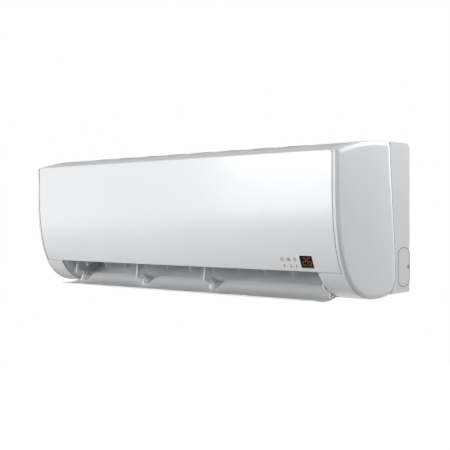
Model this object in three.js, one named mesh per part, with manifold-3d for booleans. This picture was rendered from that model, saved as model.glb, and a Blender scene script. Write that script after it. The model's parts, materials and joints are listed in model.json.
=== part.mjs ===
// Wall-hung indoor unit of a split air conditioner, as an assembly of separate parts.
// Millimetres. X runs to the right as one faces the unit, Y runs into the wall, Z is up.
// The origin is on the wall, at the middle of the mounting plate's back face.
import * as THREE from "three";
import { mergeVertices } from "three/addons/utils/BufferGeometryUtils.js";
import Module from "manifold-3d";

const wasm = await Module();
wasm.setup();

// ---------------------------------------------------------------- casing
const unitWidth = 855;
const unitHeight = 265;
const unitDepth = 200;
const wallThickness = 2.5;
const seatGap = 0.3;
const overrun = 1;
const panelGap = 1.0;

const browDrop = 20.4;
const browRun = 114;
const browFrontLean = 35;
const browFrontLift = 11.5;
const browRearLean = 39;
const chinHeight = 192.6;
const chinRun = 100;
const chinFrontReach = 160;
const chinRearReach = 55;
const heelRise = 5.9;
const heelRun = 42.5;
const heelFlat = 20;
const chassisHeelRise = 8.9;
const browFacets = 6;
const chinFacets = 14;
const heelFacets = 3;
const smallestFacet = 1;

// ---------------------------------------------------------------- end caps and chassis
const trimWidth = 8.9;
const capEdgeRadius = 5;
const sideStep = 2.75;
const seamTopInset = 58.3;
const seamLowInset = 42;
const seamLowRise = 44.5;
const seamUpperBow = 2;
const seamLowerBow = 1;
const seamLowerPull = 14;
const chassisCornerRadius = 12;
const cornerSteps = 6;
const chassisSideSetBack = 50;
const knockOutDepth = 34;
const knockOutTopRise = 84.9;
const knockOutBottomRise = 17.8;
const knockOutRadius = 13;
const snapNotchWidth = 2;
const snapNotchHeight = 9.6;
const shelfRise = 77.5;
const flangeLap = 1;
const stepRun = 7.5;
const pipeHoleMargin = 7;

// ---------------------------------------------------------------- mounting plate
const plateWidth = 620;
const plateTopDrop = 22.5;
const plateBottomRise = 82.5;
const plateThickness = 1.2;
const plateScrewRadius = 3;
const plateScrewPitchX = 120;
const plateScrewInset = 14;
const hookSpacing = 360;
const hookWidth = 28;
const hookDrop = 40.5;
const hookRise = 12;

// ---------------------------------------------------------------- front panel
const panelThickness = 2.6;
const panelTopDrop = 19.6;
const panelBottomRise = 45.5;
const panelCornerRadius = 6;
const panelPivotInset = 3.2;
const panelPivotDrop = 2.9;
const panelBeadRadius = 2.4;
const panelBeadLength = 12;
const panelPinReach = 2.5;
const pivotBossReach = 4.8;
const panelPinRadius = 1.5;
const panelPinClearance = 0.4;
const windowWidth = 27;
const windowSideInset = 65.5;
const windowTopRise = 72;
const windowBottomRise = 51.5;
const displayBoardWidth = 82;
const displayBoardThickness = 1.6;
const displayBoardTopRise = 74.5;
const displayBoardBottomRise = 55.5;

// ---------------------------------------------------------------- intake grille
const grilleFrontInset = 7.5;
const grilleBayPitch = 80;
const grilleRibWidth = 3;
const grilleSlotDepth = 12;
const grilleSlotPitch = 17;
const grilleRearMargin = 8;

// ---------------------------------------------------------------- air outlet
const outletSideInset = 60.5;
const outletWall = 2.5;
const cheekFlangeDepth = 8;
const cheekTopRise = 44.5;
const rebateTopRise = 60.5;
const ductWallMargin = 8.4;
const lipFrontSetBack = 90.5;
const troughInset = 8;
const troughRise = 80.5;
const troughWallHeight = 20;
const ductEarDepth = 20;
const earDrop = 1;

const guideSteps = 12;
const guideStepsAboveSide = 6;
const ceilingSteps = 8;
const tongueJoinShare = 0.2;
const guideTopInset = 44;
const guideTopDrop = 110.5;
const guideUpperPullInset = 38;
const guideUpperPullRise = 72.5;
const guideLowerPullSetBack = 138;
const guideLowerPullRise = 28.5;
const guideMouthSetBack = 94;
const guideMouthRise = 8.5;
const tongueSetBack = 61;
const tongueRise = 88.5;
const ceilingPullSetBack = 54;
const ceilingPullRise = 68.5;
const ceilingMouthSetBack = 30.5;
const ceilingMouthRise = 51;

// ---------------------------------------------------------------- flap and its hangers
const flapPivotSetBack = 73;
const flapPivotRise = 18;
const flapOpenAngle = 50.6;
const flapThickness = 3;
const flapEndGap = 1.4;
const flapFrontRise = 43.9;
const flapRearSetBack = 87;
const flapPinRadius = 2.2;
const flapPinClearance = 0.4;
const flapLugThickness = 2.6;
const flapLugRadius = 4.5;
const flapLugFrontSetBack = 52;
const flapLugRearSetBack = 82;
const hangerThickness = 3;
const hangerRadius = 6;
const hangerFaceShares = [0.62, 0.72, 0.8, 0.88];
const hangerFrontPullY = 13;
const hangerFrontPullZ = 22;
const hangerFootFrom = 185;
const hangerFootTo = 385;
const flapMotorSetBack = 3;
const flapDriveReach = 4;
const hangerEndInset = 12;
const hangerVanePitches = [-2.2, 0.864];

// ---------------------------------------------------------------- vertical vanes and their link
const vaneCount = 10;
const vaneEndInset = 70;
const vaneThickness = 1.6;
const vanePivotSetBack = 50;
const vaneFrontReach = 16;
const vaneRearReach = 19;
const vaneFrontDrop = 15.2;
const vaneLowerFrontReach = 8;
const vaneShoulder = 1.5;
const vanePinRoot = 5;
const vaneTopRise = 66.5;
const vaneBottomRise = 34.5;
const vanePinRadius = 1.4;
const vanePinTopRise = 75.5;
const vanePinClearance = 0.5;
const linkArm = 17;
const linkPinRadius = 1.2;
const linkRise = 52.5;
const linkThickness = 4;
const linkMargin = 1.5;
const linkPlay = 0.5;
const linkSwingRoom = 1.6;
const notchPlay = 2.4;
const crankOffset = 18;
const crankHubRadius = 5;
const crankThickness = 3;
const crankArmWidth = 5;
const crankArmEnd = 2;
const crankShaftRadius = 2;
const crankShaftLength = 5;
const crankOverPin = 1.4;
const vaneMotorRadius = 13;
const vaneMotorSocketDepth = 6;

// ---------------------------------------------------------------- fan, motors and bearing
const fanCoilGap = 11;
const fanRearInset = 53;
const fanAxisRise = 114.5;
const fanLeftInset = 81.5;
const fanRightInset = 101.5;
const fanBladeCount = 16;
const fanBladeDepth = 11;
const fanBladeThickness = 1.6;
const fanBladeLean = 16;
const fanRimInset = 0.5;
const fanShaftTail = 4;
const fanShaftInMotor = 8;
const motorSocketDepth = 12;
const holderGap = 4;
const fanDiscThickness = 3;
const fanShaftRadius = 5;
const shaftGap = 0.3;
const bushWall = 4;
const bushLength = 8;
const holderWidth = 6;
const holderArmHeight = 16;
const holderRingWall = 5;
const fanMotorStep = 5;
const motorHeadroom = 8;
const fanMotorInset = 89.5;
const fanMotorLength = 60;
const clampWall = 4;
const clampWidth = 14;
const stepperRadius = 14;
const stepperLength = 16;
const stepperOffset = 7.5;

// ---------------------------------------------------------------- heat exchanger
const coilLeftInset = 82.5;
const coilRightInset = 112.5;
const coilThickness = 22;
const coilBehindCasing = 23.65;
const coilFrontTopDrop = 93.5;
const coilUpperLowSetBack = 37;
const coilUpperLowDrop = 83.5;
const coilUpperHighInset = 102;
const coilUpperHighDrop = 24.5;
const coilRearHighInset = 87;
const coilRearHighDrop = 30.5;
const coilRearLowInset = 42;
const coilRearLowDrop = 96.5;
const tubeSheetThickness = 1;
const tubeSheetMargin = 1.8;
const bendRadius = 3.5;
const bendReach = 15;
const bendStraight = 6;
const bendRoot = 0.5;
const bendPitch = 16;
const sensorPlace = 34;
const gasPipeStart = 49.5;
const liquidPipeStart = 70.3;
const sensorRadius = 3.2;
const sensorLength = 26;

// ---------------------------------------------------------------- pipes
const gasPipeRadius = 4.8;
const liquidPipeRadius = 3.2;
const pipeY = -24;
const gasPipeRise = 44.5;
const liquidPipeRise = 60.5;
const gasPipeDropInset = 55.5;
const liquidPipeDropInset = 75.5;
const gasPipeEnd = 52;
const liquidPipeEnd = 86;
const pipeBend = 11;
const pipeFallShare = 0.2;
const nutLapShare = 1 / 3;
const gasNutRadius = 11;
const liquidNutRadius = 8.5;
const gasNutLength = 20;
const liquidNutLength = 17;
const pipeClampPlace = 200;
const pipeClampWidth = 12;
const pipeClampDepth = 17;
const pipeClampFloor = 3;
const drainRadius = 8;
const drainWall = 1.6;
const drainLength = 26;

// ---------------------------------------------------------------- air filters
const filterThickness = 1.6;
const filterGapAtMiddle = 4;
const filterRearInset = 62;

// ---------------------------------------------------------------- control box
const controlInset = 79.5;
const controlSetBack = 18;
const controlRear = -72;
const controlTopDrop = 28.5;
const controlWall = 2;
const boardThickness = 1.6;
const boardRailHeight = 4;
const boardRailWidth = 6;
const boardRailInset = 22;
const boardSideGap = 6;
const boardEndGap = 12;
const terminalWidth = 40;
const terminalDepth = 20;
const terminalHeight = 12;
const terminalSide = 4;
const terminalEnd = 10;
const buttonFlangeRim = 1.5;
const buttonRadius = 4;
const buttonDrop = 62.5;
const buttonInset = 35.5;
const buttonStand = 2;
const buttonFlange = 1.5;

// ---------------------------------------------------------------- case screws
const screwSideInset = 177.5;
const screwSetBack = 118;
const screwHeadRadius = 3.6;
const screwHeadHeight = 1.2;
const screwRecess = 1.6;
const screwShankRadius = 1.6;
const screwLength = 10;

// ---------------------------------------------------------------- worked-out places
const sideX = unitWidth / 2;
const topZ = unitHeight / 2;
const bottomZ = -unitHeight / 2;
const trimX = sideX - trimWidth;
const panelEndX = trimX - panelGap;
const frameEndX = trimX - seatGap;
const chassisX = sideX - sideStep;
const chassisInnerX = chassisX - wallThickness;
const chassisBackY = -plateThickness - seatGap;
const outletX = sideX - outletSideInset;
const seamTopY = -seamTopInset;
const seamBottomY = -unitDepth + chinRun + heelRun;
const seamBottomZ = bottomZ + heelRise;
const frontTopZ = topZ - browDrop;
const chinTopZ = bottomZ + chinHeight;
const liningDepth = wallThickness + seatGap;
const seamLowHeight = bottomZ + seamLowRise;
const chassisSideReach = unitDepth - chassisSideSetBack;
const knockOutTop = bottomZ + knockOutTopRise;
const knockOutBottom = bottomZ + knockOutBottomRise;
const shelfHeight = bottomZ + shelfRise;
const plateTop = topZ - plateTopDrop;
const plateBottom = bottomZ + plateBottomRise;
const hookHeight = topZ - hookDrop;
const panelBottomHeight = bottomZ + panelBottomRise;
const windowRight = sideX - windowSideInset;
const windowTop = bottomZ + windowTopRise;
const windowBottom = bottomZ + windowBottomRise;
const displayBoardTop = bottomZ + displayBoardTopRise;
const displayBoardBottom = bottomZ + displayBoardBottomRise;
const cheekTop = bottomZ + cheekTopRise;
const rebateTop = bottomZ + rebateTopRise;
const lipFrontInset = unitDepth - lipFrontSetBack;
const troughFloor = bottomZ + troughRise;
const guideInnerTop = new THREE.Vector2(-guideTopInset, topZ - guideTopDrop);
const guideUpperPull = new THREE.Vector2(-guideUpperPullInset, bottomZ + guideUpperPullRise);
const guideLowerPull = new THREE.Vector2(-unitDepth + guideLowerPullSetBack, bottomZ + guideLowerPullRise);
const guideMouth = new THREE.Vector2(-unitDepth + guideMouthSetBack, bottomZ + guideMouthRise);
const tongueTip = new THREE.Vector2(-unitDepth + tongueSetBack, bottomZ + tongueRise);
const ceilingPull = new THREE.Vector2(-unitDepth + ceilingPullSetBack, bottomZ + ceilingPullRise);
const ceilingMouth = new THREE.Vector2(-unitDepth + ceilingMouthSetBack, bottomZ + ceilingMouthRise);
const flapPivotY = -unitDepth + flapPivotSetBack;
const flapPivotZ = bottomZ + flapPivotRise;
const flapFrontHeight = bottomZ + flapFrontRise;
const flapRearInset = unitDepth - flapRearSetBack;
const flapLugFront = unitDepth - flapLugFrontSetBack;
const flapLugRear = unitDepth - flapLugRearSetBack;
const vanePivotY = -unitDepth + vanePivotSetBack;
const vaneTop = bottomZ + vaneTopRise;
const vaneBottom = bottomZ + vaneBottomRise;
const vanePinTop = bottomZ + vanePinTopRise;
const linkHeight = bottomZ + linkRise;
const vanePitch = (2 * outletX - 2 * vaneEndInset) / (vaneCount - 1);
const hangerEndX = outletX - hangerEndInset;
const innerHangers = hangerVanePitches.map((pitches) => pitches * vanePitch);
const hangerPlaces = [-hangerEndX, ...innerHangers, hangerEndX];
const fanAxisZ = bottomZ + fanAxisRise;
const fanLeft = -sideX + fanLeftInset;
const fanRight = sideX - fanRightInset;
const fanMotorLeft = sideX - fanMotorInset;
const coilLeft = -sideX + coilLeftInset;
const coilRight = sideX - coilRightInset;
const coilFrontTop = topZ - coilFrontTopDrop;
const coilUpperLow = new THREE.Vector2(-unitDepth + coilUpperLowSetBack, topZ - coilUpperLowDrop);
const coilUpperHigh = new THREE.Vector2(-coilUpperHighInset, topZ - coilUpperHighDrop);
const coilRearHigh = new THREE.Vector2(-coilRearHighInset, topZ - coilRearHighDrop);
const coilRearLow = new THREE.Vector2(-coilRearLowInset, topZ - coilRearLowDrop);
const gasPipeHeight = bottomZ + gasPipeRise;
const liquidPipeHeight = bottomZ + liquidPipeRise;
const gasPipeDrop = sideX - gasPipeDropInset;
const liquidPipeDrop = sideX - liquidPipeDropInset;
const controlLeft = sideX - controlInset;
const controlFront = -unitDepth + controlSetBack;
const controlTop = topZ - controlTopDrop;
const buttonHeight = topZ - buttonDrop;
const buttonPlace = sideX - buttonInset;
const screwPlace = sideX - screwSideInset;
const screwInset = unitDepth - screwSetBack;
const earBottomZ = troughFloor - wallThickness - earDrop;

// ---------------------------------------------------------------- materials
function finish(colour, roughness, metalness = 0) {
  return new THREE.MeshStandardMaterial({ color: colour, roughness, metalness });
}
const glossWhite = () => finish(0xf2f4f6, 0.15);
const casingWhite = () => finish(0xe6e9ec, 0.35);
const innerWhite = () => finish(0xd9dcdf, 0.5);
const filterGrey = () => finish(0x9aa3a8, 0.8);
const darkPlastic = () => finish(0x2b2e32, 0.6);
const smokedClear = () => finish(0x0b0c0e, 0.08);
const rubberBlack = () => finish(0x1c1c1d, 0.9);
const boardGreen = () => finish(0x2d6a45, 0.5);
const zincSteel = () => finish(0xb4b8bb, 0.35, 0.9);
const finAluminium = () => finish(0xc9cdd0, 0.4, 0.9);
const copper = () => finish(0xb8714a, 0.3, 0.95);
const brass = () => finish(0xc2a15a, 0.3, 0.95);

// ---------------------------------------------------------------- shape helpers
const fullTurn = 360;
const alongX = new THREE.Matrix4().makeBasis(
  new THREE.Vector3(0, 1, 0),
  new THREE.Vector3(0, 0, 1),
  new THREE.Vector3(1, 0, 0),
);

function at(y, z) {
  return new THREE.Vector2(y, z);
}

// A closed (Y, Z) outline drawn out along X.
function bar(points, fromX, toX) {
  const shape = new THREE.Shape(points);
  const geometry = new THREE.ExtrudeGeometry(shape, { depth: toX - fromX, bevelEnabled: false });
  geometry.translate(0, 0, fromX);
  return geometry.applyMatrix4(alongX);
}

function block(fromX, toX, fromY, toY, fromZ, toZ) {
  const geometry = new THREE.BoxGeometry(toX - fromX, toY - fromY, toZ - fromZ);
  return geometry.translate((fromX + toX) / 2, (fromY + toY) / 2, (fromZ + toZ) / 2);
}

function rodAlongX(radius, fromX, toX, y, z, sides = 16) {
  const geometry = new THREE.CylinderGeometry(radius, radius, toX - fromX, sides);
  return geometry.rotateZ(-Math.PI / 2).translate((fromX + toX) / 2, y, z);
}

function rodAlongY(radius, fromY, toY, x, z, sides = 16) {
  const geometry = new THREE.CylinderGeometry(radius, radius, toY - fromY, sides);
  return geometry.translate(x, (fromY + toY) / 2, z);
}

function rodAlongZ(radius, fromZ, toZ, x, y, sides = 12) {
  const geometry = new THREE.CylinderGeometry(radius, radius, toZ - fromZ, sides);
  return geometry.rotateX(Math.PI / 2).translate(x, y, (fromZ + toZ) / 2);
}

// Moves an open path sideways; a positive distance goes to its left.
function offsetPath(points, distance) {
  return points.map((point, index) => {
    const before = points[Math.max(index - 1, 0)];
    const after = points[Math.min(index + 1, points.length - 1)];
    const way = after.clone().sub(before).normalize();
    return at(point.x - way.y * distance, point.y + way.x * distance);
  });
}

// A wall of even thickness that lies to the left of a path, or to the right if it is negative.
function wallAlong(points, thickness) {
  return [...points, ...offsetPath(points, thickness).reverse()];
}

function polar(radius, degrees) {
  const angle = THREE.MathUtils.degToRad(degrees);
  return at(radius * Math.cos(angle), radius * Math.sin(angle));
}

function arc(centre, radius, fromDegrees, toDegrees, steps) {
  const points = [];
  for (let step = 0; step <= steps; step += 1) {
    const spoke = polar(radius, fromDegrees + ((toDegrees - fromDegrees) * step) / steps);
    points.push(spoke.add(centre));
  }
  return points;
}

function solidOf(geometry) {
  const bare = geometry.clone();
  bare.deleteAttribute("normal");
  bare.deleteAttribute("uv");
  const merged = mergeVertices(bare, 0.0001);
  const vertProperties = Float32Array.from(merged.attributes.position.array);
  const triVerts = Uint32Array.from(merged.index.array);
  return new wasm.Manifold(new wasm.Mesh({ numProp: 3, vertProperties, triVerts }));
}

function asSolid(item) {
  return item.isBufferGeometry ? solidOf(item) : item;
}

function join(...items) {
  return items.map(asSolid).reduce((whole, item) => whole.add(item));
}

function cut(base, ...tools) {
  return tools.map(asSolid).reduce((whole, tool) => whole.subtract(tool), asSolid(base));
}

function common(one, other) {
  return asSolid(one).intersect(asSolid(other));
}

function geometryOf(solid) {
  const mesh = solid.getMesh();
  const geometry = new THREE.BufferGeometry();
  const positions = Float32Array.from(mesh.vertProperties);
  geometry.setAttribute("position", new THREE.BufferAttribute(positions, 3));
  geometry.setIndex(new THREE.BufferAttribute(Uint32Array.from(mesh.triVerts), 1));
  geometry.computeVertexNormals();
  return geometry;
}

const unit = new THREE.Group();

function piece(name, shape, material, carrier = unit) {
  const geometry = shape.isBufferGeometry ? shape : geometryOf(shape);
  const mesh = new THREE.Mesh(geometry, material);
  mesh.name = name;
  carrier.add(mesh);
  return mesh;
}

function mirrored(shape) {
  return asSolid(shape).mirror([1, 0, 0]);
}

// ---------------------------------------------------------------- casing outline in Y and Z
// From the top of the seam forwards, down the bowed front and back under to the heel.
const casing = new THREE.Path();
casing.moveTo(seamTopY, topZ);
casing.lineTo(-unitDepth + browRun, topZ);
casing.bezierCurveTo(
  -unitDepth + browRun - browRearLean, topZ,
  -unitDepth + browFrontLean, frontTopZ + browFrontLift,
  -unitDepth, frontTopZ,
);
casing.lineTo(-unitDepth, chinTopZ);
casing.bezierCurveTo(
  -unitDepth, chinTopZ - chinFrontReach,
  -unitDepth + chinRun - chinRearReach, bottomZ,
  -unitDepth + chinRun, bottomZ,
);
casing.quadraticCurveTo(-unitDepth + chinRun + heelFlat, bottomZ, seamBottomY, seamBottomZ);

// The station, from 0 to 1 along the casing, at which a test first comes true.
function stationWhere(test, from = 0) {
  let low = from;
  let high = 1;
  for (let round = 0; round < 40; round += 1) {
    const middle = (low + high) / 2;
    if (test(casing.getPointAt(middle))) {
      high = middle;
    } else {
      low = middle;
    }
  }
  return high;
}

const browStation = stationWhere((point) => point.x < -unitDepth + browRun);
const frontTopStation = stationWhere((point) => point.y < frontTopZ);
const chinStation = stationWhere((point) => point.y < chinTopZ);
const frontStation = (height) => stationWhere((point) => point.y < height);
const underStation = (inset) => stationWhere((point) => point.x > -inset, chinStation);
const topStation = (inset) => stationWhere((point) => point.x < -inset);
const chinEndStation = underStation(unitDepth - chinRun);

// Facet corners that every piece on the casing outline shares.
function between(fromStation, toStation, count) {
  return Array.from({ length: count }, (_, index) => (
    fromStation + ((toStation - fromStation) * index) / count
  ));
}
const facetStations = [
  browStation,
  ...between(browStation, frontTopStation, browFacets).slice(1),
  frontTopStation,
  ...between(chinStation, chinEndStation, chinFacets),
  ...between(chinEndStation, 1, heelFacets),
];

// A point on the shared facets, which lie just inside the curve.
function pointOnFacets(station) {
  const corners = [0, ...facetStations, 1];
  const next = Math.max(corners.findIndex((corner) => corner >= station), 1);
  const [from, to] = [corners[next - 1], corners[next]];
  const share = (station - from) / (to - from);
  return casing.getPointAt(from).lerp(casing.getPointAt(to), share);
}

function casingRun(fromStation, toStation) {
  const margin = smallestFacet / casing.getLength();
  const inside = facetStations.filter((station) => (
    station > fromStation + margin && station < toStation - margin
  ));
  return [fromStation, ...inside, toStation].map(pointOnFacets);
}

function seamLine() {
  const top = at(seamTopY, topZ);
  const low = at(-seamLowInset, seamLowHeight);
  const foot = at(seamBottomY, seamBottomZ);
  const upper = new THREE.QuadraticBezierCurve(top, at(top.x + seamUpperBow, (top.y + low.y) / 2), low);
  const lower = new THREE.QuadraticBezierCurve(low, at(low.x + seamLowerBow, foot.y + seamLowerPull), foot);
  return [...upper.getPoints(4).slice(1), ...lower.getPoints(5).slice(1, -1)];
}

// ---------------------------------------------------------------- places taken from the outline
const coilFrontY = pointOnFacets(frontStation(troughFloor)).x + coilBehindCasing;
const fanFrontY = coilFrontY + coilThickness / 2 + fanCoilGap;
const fanAxisY = (fanFrontY - fanRearInset) / 2;
const fanRadius = (-fanRearInset - fanFrontY) / 2;
const fanMotorRadius = fanRadius - fanMotorStep;
const controlBottom = fanAxisZ + fanMotorRadius + motorHeadroom;

// ---------------------------------------------------------------- scroll wall behind the fan
const guide = new THREE.CubicBezierCurve(guideInnerTop, guideUpperPull, guideLowerPull, guideMouth);
const guideRun = guide.getPoints(guideSteps);

function guideFaceAt(height) {
  const steps = 200;
  const nearest = guide.getPoints(steps).reduce((best, point) => (
    Math.abs(point.y - height) < Math.abs(best.y - height) ? point : best
  ));
  return nearest.x;
}

const ceiling = new THREE.QuadraticBezierCurve(tongueTip, ceilingPull, ceilingMouth);

// ---------------------------------------------------------------- chassis
function chassisBody() {
  const cornerY = chassisBackY - chassisCornerRadius;
  const cornerZ = topZ - chassisCornerRadius;
  const corner = arc(at(cornerY, cornerZ), chassisCornerRadius, 90, 0, cornerSteps);
  const shelfFrontY = guideFaceAt(shelfHeight) + wallThickness / 2;
  const roofAndBack = backWallOutline(corner, shelfFrontY);
  const scroll = wallAlong(guideRun, wallThickness);
  const heelRearZ = bottomZ + chassisHeelRise;
  const heelFrontY = seamBottomY + seatGap;
  const floor = wallAlong([at(chassisBackY, heelRearZ), at(heelFrontY, seamBottomZ)], -wallThickness);
  const lining = offsetPath(casingRun(underStation(-guideMouth.x - flangeLap), 1), liningDepth);
  const flange = wallAlong(lining, wallThickness);
  const flangeRear = lining[lining.length - 1];
  const step = [
    at(heelFrontY, seamBottomZ + seatGap),
    at(heelFrontY + stepRun, seamBottomZ + seatGap),
    at(heelFrontY + stepRun, flangeRear.y + wallThickness),
    at(flangeRear.x - wallThickness, flangeRear.y + wallThickness),
    at(flangeRear.x - wallThickness, flangeRear.y),
    at(heelFrontY, flangeRear.y),
  ];
  const outlines = [roofAndBack, scroll, floor, flange, step];
  return join(...outlines.map((outline) => bar(outline, -chassisX, chassisX)));
}

// Roof, rounded rear corner, back wall and the shelf over the pipe channel, as one bent strip.
function backWallOutline(corner, shelfFrontY) {
  const inner = arc(
    at(chassisBackY - chassisCornerRadius, topZ - chassisCornerRadius),
    chassisCornerRadius - wallThickness, 0, 90, cornerSteps,
  );
  return [
    at(seamTopY + seatGap, topZ),
    ...corner,
    at(chassisBackY, shelfHeight),
    at(shelfFrontY, shelfHeight),
    at(shelfFrontY, shelfHeight + wallThickness),
    at(chassisBackY - wallThickness, shelfHeight + wallThickness),
    ...inner,
    at(seamTopY + seatGap, topZ - wallThickness),
  ];
}

function chassisSide() {
  const lower = offsetPath(casingRun(underStation(chassisSideReach), 1), liningDepth).reverse();
  const upper = offsetPath(casingRun(0, topStation(chassisSideReach)), liningDepth).reverse();
  const cornerCentre = at(chassisBackY - chassisCornerRadius, topZ - chassisCornerRadius);
  const corner = arc(cornerCentre, chassisCornerRadius, 90, 0, cornerSteps);
  return [
    at(chassisBackY, bottomZ + chassisHeelRise),
    at(seamBottomY + seatGap, seamBottomZ),
    ...lower,
    ...upper,
    at(seamTopY + seatGap, topZ - liningDepth),
    at(seamTopY + seatGap, topZ),
    ...corner,
  ];
}

// The break-out window for the pipes; a clearance makes the cover that closes it smaller.
function knockOutOutline(clearance, rearY) {
  const frontY = -knockOutDepth + clearance;
  const top = knockOutTop - clearance;
  const bottom = knockOutBottom + clearance;
  const radius = knockOutRadius - clearance;
  return [
    at(rearY, top),
    ...arc(at(frontY + radius, top - radius), radius, 90, 180, 4),
    ...arc(at(frontY + radius, bottom + radius), radius, 180, 270, 4),
    at(rearY, bottom),
  ];
}

function hookSlot(centreX) {
  const half = hookWidth / 2 + seatGap * 2;
  const low = hookHeight - plateThickness - hookRise;
  const high = hookHeight + seatGap;
  return block(centreX - half, centreX + half, chassisBackY - wallThickness - overrun,
    chassisBackY + overrun, low, high);
}

function rearChassis() {
  const side = bar(chassisSide(), chassisInnerX, chassisX);
  const window = bar(knockOutOutline(0, overrun), chassisInnerX - overrun, chassisX + overrun);
  const shell = join(chassisBody(), side, mirrored(side));
  const pipeHole = block(
    liquidPipeDrop - liquidPipeRadius - pipeHoleMargin, gasPipeDrop + gasPipeRadius + pipeHoleMargin,
    pipeY - gasPipeRadius - pipeHoleMargin, pipeY + gasPipeRadius + pipeHoleMargin,
    shelfHeight - overrun, shelfHeight + wallThickness + overrun,
  );
  return cut(
    shell, window, mirrored(window), pipeHole,
    hookSlot(-hookSpacing / 2), hookSlot(hookSpacing / 2),
    ...[-screwPlace, screwPlace].map((x) => rodAlongZ(
      screwShankRadius + shaftGap, screwSeatZ() + wallThickness, screwSeatZ() + 3 * wallThickness,
      x, -screwInset, 8,
    )),
  );
}
piece("rear_chassis", rearChassis(), casingWhite());

function pipeCover() {
  const plate = bar(knockOutOutline(seatGap, chassisBackY), chassisInnerX, chassisX);
  const notchZ = (knockOutTop + knockOutBottom) / 2;
  const notch = block(
    chassisInnerX - overrun, chassisX + overrun,
    chassisBackY - 2 * snapNotchWidth, chassisBackY - snapNotchWidth,
    notchZ - snapNotchHeight / 2, notchZ + snapNotchHeight / 2,
  );
  return cut(plate, notch);
}
piece("pipe_cover_right", pipeCover(), casingWhite());
piece("pipe_cover_left", mirrored(pipeCover()), casingWhite());

// ---------------------------------------------------------------- mounting plate on the wall
function wallPlate() {
  const half = plateWidth / 2;
  let plate = asSolid(block(-half, half, -plateThickness, 0, plateBottom, plateTop));
  const rowHeights = [plateTop - plateScrewInset, plateBottom + plateScrewInset];
  for (const height of rowHeights) {
    for (const step of [-2, -1, 1, 2]) {
      const hole = rodAlongY(plateScrewRadius, -plateThickness - overrun, overrun,
        step * plateScrewPitchX, height, 10);
      plate = cut(plate, hole);
    }
  }
  const hookFaceY = chassisBackY - wallThickness - seatGap;
  for (const centreX of [-hookSpacing / 2, hookSpacing / 2]) {
    const left = centreX - hookWidth / 2;
    const right = centreX + hookWidth / 2;
    const tongue = block(left, right, hookFaceY - plateThickness, -plateThickness / 2,
      hookHeight - plateThickness, hookHeight);
    const upright = block(left, right, hookFaceY - plateThickness, hookFaceY,
      hookHeight - plateThickness, hookHeight + hookRise);
    plate = join(plate, tongue, upright);
  }
  return plate;
}
piece("wall_plate", wallPlate(), zincSteel());

// ---------------------------------------------------------------- end caps
function panelPivot() {
  return at(-unitDepth + panelPivotInset, topZ - panelTopDrop - panelPivotDrop);
}

function capOutline() {
  return [...casingRun(0, 1), ...seamLine().reverse()];
}

function endCap() {
  const shape = new THREE.Shape(capOutline());
  const rounded = new THREE.ExtrudeGeometry(shape, {
    depth: 2 * trimWidth - 2 * capEdgeRadius,
    bevelEnabled: true,
    bevelThickness: capEdgeRadius,
    bevelSize: capEdgeRadius,
    bevelOffset: -capEdgeRadius,
    bevelSegments: 3,
  });
  rounded.translate(0, 0, sideX - 2 * trimWidth + capEdgeRadius).applyMatrix4(alongX);
  const innerHalf = block(trimX - 2 * trimWidth, trimX, -2 * unitDepth, unitDepth, 2 * bottomZ, 2 * topZ);
  const rim = [
    ...offsetPath(casingRun(0, 1), wallThickness),
    at(seamBottomY, bottomZ),
    at(0, bottomZ),
    at(0, topZ + wallThickness),
    at(seamTopY, topZ + wallThickness),
  ];
  const hollow = bar(rim, trimX - overrun, sideX - wallThickness);
  const pivot = panelPivot();
  const boss = block(trimX - 2 * overrun, sideX, pivot.x - pivotBossReach, pivot.x + pivotBossReach,
    pivot.y - pivotBossReach, pivot.y + pivotBossReach);
  const socket = rodAlongX(panelPinRadius + panelPinClearance, trimX - overrun, sideX - wallThickness,
    pivot.x, pivot.y, 10);
  return cut(cut(rounded, innerHalf), cut(hollow, boss), socket);
}
piece("right_end_cap", endCap(), glossWhite());
piece("left_end_cap", mirrored(endCap()), glossWhite());

// ---------------------------------------------------------------- front frame: cheeks and outlet lip
function screwSeatZ() {
  return casing.getPointAt(underStation(screwInset)).y;
}

function frontFrame() {
  const underRun = casingRun(frontStation(cheekTop), 1);
  const cheekShell = bar(wallAlong(underRun, wallThickness), outletX, frameEndX);
  const flangeRun = casingRun(frontStation(cheekTop), underStation(lipFrontInset));
  const flangeOutline = wallAlong(flangeRun, cheekFlangeDepth);
  const innerFlange = bar(flangeOutline, outletX, outletX + outletWall);
  const outerFlange = bar(flangeOutline, frameEndX - outletWall, frameEndX);
  const behindPanel = casingRun(frontStation(rebateTop), frontStation(cheekTop - cheekFlangeDepth));
  const rebateRun = offsetPath(behindPanel, panelThickness + panelGap);
  const rebate = bar(wallAlong(rebateRun, wallThickness), outletX, frameEndX);
  const cheek = join(cheekShell, innerFlange, outerFlange, rebate);
  const lipRun = casingRun(underStation(lipFrontInset), 1);
  const lip = bar(wallAlong(lipRun, wallThickness), -frameEndX, frameEndX);
  const seat = screwSeatZ();
  const holes = [-screwPlace, screwPlace].flatMap((x) => [
    rodAlongZ(screwHeadRadius + seatGap, seat - 2 * wallThickness, seat + screwRecess, x, -screwInset, 14),
    rodAlongZ(screwShankRadius + shaftGap, seat, seat + 2 * wallThickness, x, -screwInset, 8),
  ]);
  return cut(join(cheek, mirrored(cheek), lip), ...holes);
}
piece("front_frame", frontFrame(), glossWhite());

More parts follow.
